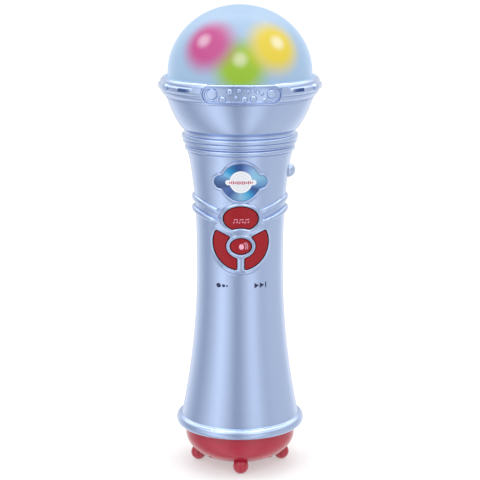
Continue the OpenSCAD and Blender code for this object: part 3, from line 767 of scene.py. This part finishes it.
def well_tube(name, x, z, floor_y, radius, below=0.5):
    """The wall and floor of a screw well, open to the rear and cut off below the grip's surface."""
    turn = np.linspace(0, 2 * math.pi, 41)[:-1]
    outside = radius + 0.9

    def ring(r, y):
        at_x, at_z = x + r * np.cos(turn), z + r * np.sin(turn)
        if y is None:
            y = np.sqrt((shell_r(at_z) - below) ** 2 - at_x ** 2)
        return np.stack([at_x, np.broadcast_to(y, at_x.shape), at_z], 1)

    rings = [ring(SCREW_HOLE_R, floor_y - 1), ring(outside, floor_y - 1), ring(outside, None),
             ring(radius, None), ring(radius, floor_y), ring(SCREW_HOLE_R, floor_y)]
    count = len(turn)
    faces = [(i * count + j, i * count + (j + 1) % count,
              (i + 1) % 6 * count + (j + 1) % count, (i + 1) % 6 * count + j)
             for i in range(6) for j in range(count)]
    return add_object(name, np.vstack(rings) * MM, faces)


screw_wells = join("screw_wells", [well_tube(f"well_{i}", x, z, WELL_FLOOR_Y, WELL_R)
                                   for i, (x, z) in enumerate(WELLS)])
door_well = well_tube("door_screw_well", 0, DOOR_SCREW_Z, 20.35, DOOR_WELL_R, 1.1)


# ---- Collar ----

COLLAR = np.vstack([
    [[37.1, 193.55], [37.45, 193.7], [37.5, 194.1], [37.35, 194.4], [37.5, 194.7]],
    spline([[37.9, 194.95], [38.6, 195.5], [39.3, 196.3], [39.75, 197.2]], 4),
    [[39.8, 197.45], [39.7, 197.65], [39.9, 197.9]],
    arc(39.55, 200, 1.95, -62, 58, 22),
    [[40.45, 201.85], [40.3, 202.0], [40.4, 202.2]],
    spline([[40.35, 202.5], [40.05, 203.1], [39.5, 203.7], [38.8, 204.15], [38.1, 204.35]], 4),
    [[37.5, 204.44], [37.05, 204.5]],
])
CART_HALF, CART_R, CART_Z = 14.9, 5.05, 199.3
CARTOUCHE = rounded(np.vstack([arc(CART_HALF, CART_Z, CART_R, -90, 90, 40),
                               arc(-CART_HALF, CART_Z, CART_R, 90, 270, 40)]), 0.2)
BUBBLES = [  # x, z, radius
    (-14.3, 199.7, 2.7), (-9.4, 197.2, 1.8), (-5.8, 201.0, 1.6), (-2.7, 198.2, 0.95),
    (1.4, 197.3, 1.6), (5.8, 197.7, 1.6), (11.4, 196.8, 1.2), (14.5, 199.8, 2.3),
    (-1.2, 201.6, 1.2), (9.9, 200.0, 0.9), (3.4, 201.2, 1.0),
]
RING_MARK = (7.6, 201.4, 1.3)
COLLAR_R = 42.0          # radius at which the collar's relief is laid out
BAR = (23.0 / COLLAR_R, 201.0, 2.6, 1.2)     # angle, height, half width, half height
SLOT = (math.radians(43), 200.5, 3.9, 0.8)
BOSS_ANGLE, BOSS_Z, BOSS_R = math.radians(63), 200.7, 1.6


def collar_r(z):
    return np.interp(z, COLLAR[:, 1], COLLAR[:, 0])


def collar_radius(flat):
    """Radius of the collar with its relief, on the unrolled half."""
    angle = flat[:, 0] / UNROLL_R
    z = flat[:, 1]
    base = collar_r(z)
    x = COLLAR_R * np.sin(angle)
    at = np.stack([x, z], 1)
    to_edge = signed(at, CARTOUCHE)
    edge = np.clip((to_edge + 0.5) / 0.5, 0, 1)
    plateau = 41.0 + 1.4 * np.sqrt(1 - edge ** 2)
    plateau = plateau - 0.8 * smooth_step((-to_edge - 0.85) / 0.2)
    second = 0.45 * dome_bump(to_edge + 1.75, 0.4)
    bubbles = np.zeros_like(x)
    for bx, bz, br in BUBBLES:
        bubbles = np.maximum(bubbles, 0.7 * br * dome_bump(np.hypot(x - bx, z - bz), br))
    mx, mz, mr = RING_MARK
    bubbles = np.maximum(bubbles, 0.4 * dome_bump(np.hypot(x - mx, z - mz) - mr + 0.35, 0.35))
    inner = smooth_step((-to_edge - 1.6) / 0.3)
    plateau = plateau + np.maximum(second, bubbles * inner)
    plateau = np.minimum(plateau, 42.7)
    radius = np.where(to_edge < -0.001, np.maximum(base, plateau), base)
    # bars beside the cartouche, then slots, then ringed bosses
    side = np.abs(angle)

    def within(shape):
        at_angle, at_z, half_u, half_z = shape
        return (np.abs(side - at_angle) < half_u / COLLAR_R) & (np.abs(z - at_z) < half_z)

    bar = np.where(within(BAR), 41.75, 0)
    radius = np.where(to_edge > 0, np.maximum(radius, bar), radius)
    radius = np.where(within(SLOT), 38.2, radius)
    boss = np.hypot(COLLAR_R * (side - BOSS_ANGLE), z - BOSS_Z)
    raised = 42.3 - 0.35 * smooth_step(1 - boss / 0.8)
    return np.where(boss < BOSS_R, np.maximum(radius, raised), radius)


def on_collar(loop):
    """Front-view points on the collar, laid out flat."""
    u = UNROLL_R * np.arcsin(np.clip(loop[:, 0] / COLLAR_R, -0.999, 0.999))
    return np.stack([u, loop[:, 1]], 1)


def patch(shape, side, grow):
    """The outline of a bar or slot on the collar, laid out flat."""
    angle, z, half_u, half_z = shape
    u, du, dz = UNROLL_R * side * angle, UNROLL_R * (half_u + grow) / COLLAR_R, half_z + grow
    return resample([[u - du, z - dz], [u + du, z - dz], [u + du, z + dz], [u - du, z + dz]], 0.4)


def boss_ring(side, r):
    ring = arc(0, 0, r, 0, 360, 28)[:-1]
    angle = side * BOSS_ANGLE + ring[:, 0] / COLLAR_R
    return np.stack([UNROLL_R * angle, BOSS_Z + ring[:, 1]], 1)


def collar_half():
    rows = COLLAR[:, 1]
    columns = np.linspace(-HALF_TURN, HALF_TURN, 145)
    low, high = rows[0], rows[-1]
    border = np.vstack([
        [[u, low] for u in columns], [[HALF_TURN, z] for z in rows[1:-1]],
        [[u, high] for u in columns[::-1]], [[-HALF_TURN, z] for z in rows[1:-1][::-1]]])
    grid = np.array([[u, z] for z in rows[1:-1] for u in columns[1:-1]])
    fine = np.array([[x, z] for z in np.arange(194.6, 204.2, 0.22)
                     for x in np.arange(-18.8, 18.8, 0.22)])
    grid = np.vstack([grid, on_collar(fine[signed(fine, CARTOUCHE) < -1.2])])
    contours = [(on_collar(offset(CARTOUCHE, by)), True)
                for by in (0.02, -0.02, -0.08, -0.2, -0.5, -0.85, -1.05, -1.35, -1.75, -2.15)]
    for shape in (SLOT, BAR):
        contours += [(patch(shape, side, s), True) for side in (-1, 1) for s in (-0.03, 0.03)]
    contours += [(boss_ring(side, r), True) for side in (-1, 1)
                 for r in (1.63, 1.57, 1.2, 0.8, 0.4)]
    return region(border, contours, [], grid, 0.07)


def collar_solid():
    flat, faces = collar_half()
    radius = collar_radius(flat)
    inner_r = np.interp(flat[:, 1], [193.55, 201, 203.2, 204.5], [35.2, 35.2, 36.9, 36.9])
    parts = []
    for i, turn in enumerate((0, math.pi)):
        part = closed_sheet(f"collar_{i}", wrap(flat, radius), wrap(flat, inner_r), faces)
        part.data.transform(Matrix.Rotation(turn, 4, "Z"))
        parts.append(part)
    return join("collar_relief", parts)


collar_piece = collar_solid()


# ---- Red base cup with the loudspeaker's grille ----

CUP_A, CUP_B, CUP_X, CUP_Z = 16.6, 13.3, 12.0, 16.8
CUP_RIM_Z = 21.2
CUP_SCREWS = around(22.8, [45, 135, 225, 315])
CUP_WELL_R = 2.35
GRILLE_STEP = 4.2
cup_angles = np.radians(np.linspace(0, 90, 40))
CUP = np.stack([CUP_X + CUP_A * np.sin(cup_angles), CUP_Z - CUP_B * np.cos(cup_angles)], 1)
CUP = np.vstack([CUP, [[28.64, 17.9], [28.68, 19.0], [28.7, 20.1], [28.7, CUP_RIM_Z]]])
CUP_ALONG = np.concatenate([[CUP_X], CUP_X + np.cumsum(np.hypot(*np.diff(CUP, axis=0).T))])
FROM_AXIS = np.concatenate([[0], CUP_ALONG])    # distance along the surface, and its radius
FROM_AXIS_R = np.concatenate([[0], CUP[:, 0]])


def cup_solid():
    limit = CUP_ALONG[-1]
    border = ellipse(0, 0, limit, limit, 180)
    rings = [ellipse(0, 0, s, s, max(24, int(s * 4.6))) for s in
             list(np.arange(2.1, CUP_X, 2.1)) + list(CUP_ALONG[:-1])]
    grid = np.vstack(rings)

    def hole(x, y, r, count):
        ring = ellipse(x, y, r, r, count)
        radius = np.hypot(*ring.T)
        return ring * (np.interp(radius, FROM_AXIS_R, FROM_AXIS) / radius)[:, None]

    holes = [hole(x, y, 1.1, 20) for k in (1, 2, 3)
             for x, y in around(GRILLE_STEP * k, [60 * i / k for i in range(6 * k)])]
    holes += [ellipse(0, 0, 1.2, 1.2, 20)] + [hole(x, y, CUP_WELL_R, 32) for x, y in CUP_SCREWS]
    flat, faces = region(border, [], holes, grid, 0.3)
    s = np.hypot(*flat.T)
    radius = np.interp(s, FROM_AXIS, FROM_AXIS_R)
    z = np.interp(s, CUP_ALONG, CUP[:, 1])
    outward = flat / np.maximum(s, 1e-9)[:, None]
    outer = np.column_stack([outward * radius[:, None], z])
    inner_r = radius * (1 - WALL / limit)
    up = WALL * np.cos(np.clip((s - CUP_X) / (limit - CUP_X), 0, 1) * math.pi / 2)
    inner = np.column_stack([outward * inner_r[:, None], np.minimum(z + up, CUP_RIM_Z)])
    return closed_sheet("cup_shell", outer, inner, faces, True)


cup_shell = cup_solid()
cup_wells = join("cup_screw_wells", [
    lathe(f"cup_well_{i}",
          [[CUP_WELL_R, 9.7], [3.05, 9.9], [3.05, 12.2], [SCREW_HOLE_R, 12.2], [SCREW_HOLE_R, 11.2],
           [CUP_WELL_R, 11.2]], 40, Matrix.Translation((x * MM, y * MM, 0)))
    for i, (x, y) in enumerate(CUP_SCREWS)])


# ---- Materials ----

def new_material(name):
    material = bpy.data.materials.new(name)
    material.use_nodes = True
    return material, material.node_tree, material.node_tree.nodes["Principled BSDF"]


def srgb(*levels):
    return tuple(c / 255 / 12.92 if c <= 10 else ((c / 255 + 0.055) / 1.055) ** 2.4 for c in levels)


def feed(tree, node, inputs):
    """Gives inputs their values, or links them where another node's output is given."""
    for name, value in inputs.items():
        if isinstance(value, bpy.types.NodeSocket):
            tree.links.new(value, node.inputs[name])
        else:
            node.inputs[name].default_value = value


def add_node(tree, kind, inputs):
    node = tree.nodes.new(f"ShaderNode{kind}")
    feed(tree, node, inputs)
    return node


def maths(tree, operation, a, b):
    node = tree.nodes.new("ShaderNodeMath")
    node.operation = operation
    feed(tree, node, {0: a, 1: b})
    return node.outputs["Value"]


def mixed(tree, share, a, b, blend="MIX"):
    """The colour of a mix of the colours a and b."""
    node = tree.nodes.new("ShaderNodeMix")
    node.data_type = "RGBA"
    node.blend_type = blend
    feed(tree, node, {0: share, 6: a, 7: b})
    return node.outputs[2]


def turn_share(tree, a, b):
    """The angle atan2(a, b) as a share of the full turn from -180 degrees."""
    angle = maths(tree, "ARCTAN2", a, b)
    span = {"From Min": -math.pi, "From Max": math.pi, "Value": angle}
    return add_node(tree, "MapRange", span).outputs["Result"]


def ramp_colour(tree, factor, stops, interpolation="LINEAR"):
    """The colour at factor between stops of a place from 0 to 1 and a colour."""
    node = add_node(tree, "ValToRGB", {"Fac": factor})
    ramp = node.color_ramp
    ramp.interpolation = interpolation
    while len(ramp.elements) < len(stops):
        ramp.elements.new(0.5)
    for element, (at, colour) in zip(ramp.elements, stops):
        element.position = at
        element.color = (*colour, 1)
    return node.outputs["Color"]


def add_bump(tree, shader, place, scale, strength, depth):
    noise = add_node(tree, "TexNoise", {"Scale": scale, "Vector": place})
    lift = add_node(tree, "Bump", {"Strength": strength, "Distance": depth,
                                   "Height": noise.outputs["Fac"]})
    feed(tree, shader, {"Normal": lift.outputs["Normal"]})


def surface(name, colour, roughness, metallic=0.0, coat=0.0, grain=0.0, grain_scale=900.0,
            bump=0.0, bump_scale=600.0, spread=0.12, emission=None, strength=0.0, specular=0.5):
    """A moulded or painted surface: its colour and gloss vary a little, with a fine bump."""
    material, tree, shader = new_material(name)
    place = tree.nodes.new("ShaderNodeTexCoord").outputs["Object"]
    noise = add_node(tree, "TexNoise", {"Scale": grain_scale, "Detail": 3, "Vector": place})
    low = [max(c * (1 - grain), 0) for c in colour]
    high = [min(c * (1 + grain), 1) for c in colour]
    wide = add_node(tree, "TexNoise", {"Scale": 70, "Vector": place})
    gloss = add_node(tree, "MapRange", {"To Min": roughness * (1 - spread),
                                        "To Max": roughness * (1 + spread),
                                        "Value": wide.outputs["Fac"]})
    feed(tree, shader, {
        "Base Color": ramp_colour(tree, noise.outputs["Fac"], [(0.35, low), (0.65, high)]),
        "Roughness": gloss.outputs["Result"],
        "Metallic": metallic,
        "Coat Weight": coat,
        "Coat Roughness": 0.08,
        "Specular IOR Level": specular,
    })
    if bump:
        add_bump(tree, shader, place, bump_scale, bump, 0.0002)
    if emission:
        feed(tree, shader, {"Emission Color": (*emission, 1), "Emission Strength": strength})
    return material


GREEN, GREEN_CORE = srgb(160, 200, 62), srgb(222, 232, 180)
YELLOW, YELLOW_CORE = srgb(238, 214, 72), srgb(254, 246, 205)
PINK, PINK_CORE = srgb(204, 84, 150), srgb(238, 190, 214)
PAINTED_GLOWS = [  # painted glows on the dome: middle of each painted glow and its colour, then of its painted bright core
    ((-0.3, -35.9, 212.6), GREEN, (-0.6, -34.8, 216.0), GREEN_CORE),
    ((16.2, -27.4, 221.6), YELLOW, (17.7, -26.0, 223.3), YELLOW_CORE),
    ((-16.0, -27.0, 222.6), PINK, (-18.0, -25.0, 224.2), PINK_CORE),
    ((20.5, 24.0, 222.0), YELLOW, (20.5, 24.0, 222.0), YELLOW_CORE),
    ((-20.5, 24.0, 222.0), PINK, (-20.5, 24.0, 222.0), PINK_CORE),
]


def dome_material():
    """Milky blue plastic that emits its own colour, with glows painted into that colour where each
    lamp would shine through.
    """
    material, tree, shader = new_material("dome_plastic")
    place = tree.nodes.new("ShaderNodeTexCoord").outputs["Object"]
    colour = (*srgb(168, 198, 230), 1)
    for middle, glow, core_middle, core in PAINTED_GLOWS:
        for centre, gone, full, tint, most in ((middle, 18.0, 6.5, glow, 1.0),
                                               (core_middle, 5.5, 1.0, core, 0.85)):
            away = tree.nodes.new("ShaderNodeVectorMath")
            away.operation = "DISTANCE"
            feed(tree, away, {0: place, 1: [c * MM for c in centre]})
            fade = add_node(tree, "MapRange", {"From Min": gone * MM, "From Max": full * MM,
                                               "To Max": most, "Value": away.outputs["Value"]})
            fade.interpolation_type = "SMOOTHSTEP"
            colour = mixed(tree, fade.outputs["Result"], colour, (*tint, 1))
    # painted glow: the dome emits its colour, painted glows and cores included, at strength 0.7 all
    # over, and its base colour is that colour darkened to a fifth
    feed(tree, shader, {
        "Base Color": mixed(tree, 1, colour, (0.2, 0.2, 0.2, 1), "MULTIPLY"),
        "Emission Color": colour,
        "Emission Strength": 0.7,
        "Roughness": 0.3,
        "Specular IOR Level": 0.25,
    })
    add_bump(tree, shader, place, 240, 0.04, 0.0003)
    return material


FOIL_STOPS = [  # degrees from +X, anticlockwise
    (-180, (52, 92, 145)), (-168, (38, 70, 122)), (-152, (66, 98, 160)), (-130, (58, 92, 152)),
    (-112, (110, 150, 195)), (-92, (140, 186, 219)), (-72, (96, 175, 215)), (-52, (22, 138, 192)),
    (-38, (24, 88, 150)), (-26, (34, 74, 135)), (-12, (92, 140, 190)), (12, (132, 186, 216)),
    (45, (128, 172, 210)), (70, (100, 130, 190)), (88, (50, 84, 150)), (104, (30, 84, 150)),
    (122, (20, 120, 180)), (138, (28, 148, 202)), (154, (110, 176, 218)), (167, (88, 130, 180)),
    (180, (52, 92, 145)),
]


def foil_material():
    """Blue foil whose shade turns round the disc."""
    material, tree, shader = new_material("badge_foil")
    place = tree.nodes.new("ShaderNodeTexCoord").outputs["Object"]
    split = add_node(tree, "SeparateXYZ", {"Vector": place})
    above = maths(tree, "SUBTRACT", split.outputs["Z"], BADGE_Z * MM)
    share = turn_share(tree, above, split.outputs["X"])
    stops = [((degrees + 180) / 360, srgb(*rgb)) for degrees, rgb in FOIL_STOPS]
    feed(tree, shader, {
        "Base Color": ramp_colour(tree, share, stops),
        "Metallic": 0.35,
        "Roughness": 0.3,
        "Coat Weight": 0.4,
        "Coat Roughness": 0.08,
    })
    return material


PAINT = surface("grip_paint", srgb(176, 194, 228), 0.25, metallic=0.9, coat=0.2, grain=0.04,
                grain_scale=2600, bump=0.02, bump_scale=500, spread=0.05)
RED = surface("red_plastic", srgb(150, 20, 30), 0.36, grain=0.04, grain_scale=400,
              bump=0.03, bump_scale=800, specular=0.25)
CUP_RED = surface("cup_plastic", srgb(172, 30, 56), 0.26, coat=0.25, grain=0.04, grain_scale=400,
                  bump=0.03)
PINK_INK = surface("button_ink", srgb(232, 168, 192), 0.45, grain=0.05, grain_scale=3000)
NAVY_INK = surface("label_ink", srgb(26, 34, 76), 0.5, grain=0.06, grain_scale=3000)
RED_INK = surface("badge_ink", srgb(176, 30, 58), 0.4, grain=0.05, grain_scale=3000)
WHITE_FOIL = surface("badge_white", srgb(226, 228, 233), 0.35, grain=0.03, coat=0.3)
GREY_LINE = surface("badge_line", srgb(180, 188, 202), 0.4, grain=0.04, grain_scale=2000)
PEARL = surface("pearl_plastic", srgb(176, 192, 220), 0.16, metallic=0.7, coat=0.4, grain=0.04,
                grain_scale=1500, bump=0.03)
DOME = dome_material()
FOIL = foil_material()

NODE_LOOKS = {name: surface(name, srgb(*rgb), roughness, **more) for name, rgb, roughness, more in (
    ("white_plastic", (232, 238, 245), 0.4, {"grain": 0.03, "bump": 0.03}),
    ("circuit_board", (42, 106, 66), 0.4,
     {"coat": 0.3, "grain": 0.25, "grain_scale": 700, "bump": 0.1}),
    ("black_plastic", (36, 36, 40), 0.5, {"grain": 0.2, "grain_scale": 1200, "bump": 0.1}),
    ("black_rubber", (40, 40, 42), 0.8, {"grain": 0.2, "grain_scale": 1500, "bump": 0.15}),
    ("pad_rubber", (214, 214, 208), 0.6, {"grain": 0.05, "bump": 0.08}),
    ("screw_steel", (190, 190, 194), 0.28,
     {"metallic": 1.0, "grain": 0.08, "grain_scale": 2600, "bump": 0.06}),
    ("contact_metal", (206, 206, 210), 0.22, {"metallic": 1.0, "grain": 0.05, "grain_scale": 1800}),
    ("cell_metal", (190, 150, 70), 0.3, {"metallic": 0.8, "grain": 0.1, "grain_scale": 300}),
    ("magnet_iron", (60, 60, 64), 0.55,
     {"metallic": 0.5, "grain": 0.2, "grain_scale": 1600, "bump": 0.1}),
    ("cone_paper", (66, 66, 72), 0.8, {"grain": 0.25, "grain_scale": 2200, "bump": 0.2}),
    ("wire_plastic", (160, 44, 38), 0.4, {"grain": 0.05}),
)}
NODE_LOOKS |= {name: surface(name, srgb(*rgb), 0.25, grain=0.05, emission=srgb(*glow), strength=1.5)
               for name, rgb, glow in (("green_lamp", (160, 205, 90), (160, 220, 80)),
                                       ("yellow_lamp", (240, 214, 90), (250, 220, 90)),
                                       ("pink_lamp", (220, 110, 170), (230, 110, 170)))}
NODE_LOOKS |= {"badge_foil": FOIL, "red_plastic": CUP_RED, "pearl_plastic": PEARL,
               "grip_paint": PAINT, "dome_plastic": DOME}


def put(obj, material):
    obj.data.materials.clear()
    obj.data.materials.append(material)


for part in frame["record"]["subparts"]:
    node = frame["nodes"][part["node"]]
    for slot in node.material_slots:
        slot.material = NODE_LOOKS[part["material_slot"]]

PIECES = [  # piece, body, material, record slot, CAD nodes that it stands for
    (front_skin, "body", PAINT, "grip_paint", ["front_shell"]),
    (rear_skin, "body", PAINT, "grip_paint", ["rear_shell"]),
    (screw_wells, "body", PAINT, "grip_paint", []),
    (collar_piece, "body", PAINT, "grip_paint", ["collar"]),
    (light_dome, "body", DOME, "dome_plastic", ["dome"]),
    (cup_shell, "body", CUP_RED, "red_plastic", ["base_cup"]),
    (cup_wells, "body", CUP_RED, "red_plastic", []),
    (feet, "body", CUP_RED, "red_plastic", ["ball_feet"]),
    (badge_foil, "body", FOIL, "badge_foil", ["badge_plate"]),
    (badge_disc, "body", WHITE_FOIL, "badge_foil", []),
    (badge_pill, "body", WHITE_FOIL, "badge_foil", []),
    (badge_bars, "body", RED_INK, "badge_foil", []),
    (badge_rings, "body", GREY_LINE, "badge_foil", []),
    (record_marks, "body", NAVY_INK, "grip_paint", []),
    (play_marks, "body", NAVY_INK, "grip_paint", []),
    (demo_cap, "demo_button", RED, "red_plastic", ["demo_button"]),
    (demo_symbol, "demo_button", PINK_INK, "red_plastic", []),
    (record_cap, "record_button", RED, "red_plastic", ["record_button"]),
    (play_cap, "play_button", RED, "red_plastic", ["play_button"]),
    (rhythm_cap, "rhythm_button", RED, "red_plastic", ["rhythm_button"]),
    (rhythm_symbol, "rhythm_button", PINK_INK, "red_plastic", []),
    (side_ball, "side_button", PEARL, "pearl_plastic", ["side_button"]),
    (door_panel, "battery_door", PAINT, "grip_paint", ["battery_door"]),
    (door_well, "battery_door", PAINT, "grip_paint", []),
]
for piece, body, material, slot_name, stands_for in PIECES:
    put(piece, material)
    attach(piece, body)
    if stands_for:
        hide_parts(*stands_for)


# ---- Floor, world and lights ----

def studio_floor():
    """A floor that curves up behind the object. It glows faintly, and gloss doesn't show it."""
    half_width = 3.0
    path = [(-2.2, 0), (0.9, 0), (1.05, 0.012), (1.18, 0.05), (1.27, 0.115), (1.32, 0.2),
            (1.34, 0.32), (1.34, 3.0)]
    points = [(x, y, z) for y, z in path for x in (-half_width, half_width)]
    faces = [(2 * i, 2 * i + 1, 2 * i + 3, 2 * i + 2) for i in range(len(path) - 1)]
    mesh = bpy.data.meshes.new("studio_floor")
    mesh.from_pydata(points, [], faces)
    mesh.polygons.foreach_set("use_smooth", [True] * len(mesh.polygons))
    floor = bpy.data.objects.new("studio_floor", mesh)
    bpy.context.scene.collection.objects.link(floor)
    material, tree, shader = new_material("studio_white")
    feed(tree, shader, {
        "Base Color": (0.5, 0.5, 0.5, 1),
        "Emission Color": (1, 1, 1, 1),
        "Emission Strength": 0.42,
        "Roughness": 0.9,
        "Specular IOR Level": 0.0,
    })
    mesh.materials.append(material)
    floor.visible_glossy = False


studio_floor()

WORLD_LEVEL = 0.86
STRIPS = [  # azimuth from the front in degrees, width, extra brightness
    (-48, 17, 0.5), (30, 13, 0.38), (-7, 12, -0.42), (-99, 18, -0.3), (58, 11, -0.1),
    (150, 16, 0.3), (-150, 16, 0.3), (180, 12, -0.2),
]
HEIGHTS = [  # elevation in degrees, brightness
    (-90, 0.8), (-60, 1.0), (-40, 1.0), (-18, 1.0), (2, 0.98), (14, 0.82), (24, 0.9), (33, 1.75),
    (52, 1.75), (62, 1.0), (90, 0.9),
]


def strip_stops():
    """Brightness round the object in 30 steps of azimuth, a little bluer where it is dark."""
    stops = []
    for i in range(31):
        at = -180 + 12 * i
        level = WORLD_LEVEL
        for azimuth, width, extra in STRIPS:
            away = (at - azimuth + 180) % 360 - 180
            level += extra * math.exp(-(away / width) ** 2)
        cool = max(WORLD_LEVEL - level, 0)
        stops.append((i / 30, (level * (1 - 0.1 * cool), level, level * (1 + 0.25 * cool))))
    return stops


def studio_world():
    """Upright light and dark strips round the object, brightest above the camera."""
    world = bpy.data.worlds.new("studio")
    bpy.context.scene.world = world
    world.use_nodes = True
    tree = world.node_tree
    place = tree.nodes.new("ShaderNodeTexCoord").outputs["Generated"]
    split = add_node(tree, "SeparateXYZ", {"Vector": place})
    front = maths(tree, "MULTIPLY", split.outputs["Y"], -1)
    share = turn_share(tree, split.outputs["X"], front)
    strips = ramp_colour(tree, share, strip_stops(), "EASE")
    high = add_node(tree, "MapRange", {"From Min": -1, "Value": split.outputs["Z"]})
    # the sine of the elevation, and half the brightness there
    heights = [((math.sin(math.radians(e)) + 1) / 2, (v * 0.5,) * 3) for e, v in HEIGHTS]
    bands = ramp_colour(tree, high.outputs["Result"], heights, "EASE")
    feed(tree, tree.nodes["Background"], {"Color": mixed(tree, 1, strips, bands, "MULTIPLY"),
                                          "Strength": 2.0})


studio_world()


def area_light(name, place, target, size, power):
    data = bpy.data.lights.new(name, "AREA")
    data.shape = "RECTANGLE"
    data.size, data.size_y = size
    data.energy = power
    obj = bpy.data.objects.new(name, data)
    bpy.context.scene.collection.objects.link(obj)
    obj.location = place
    obj.rotation_euler = (Vector(target) - Vector(place)).to_track_quat("-Z", "Y").to_euler()


area_light("top_soft", (0, 0.15, 1.3), (0, 0, 0.1), (1.2, 1.2), 12)

bpy.context.scene.view_settings.view_transform = "Standard"
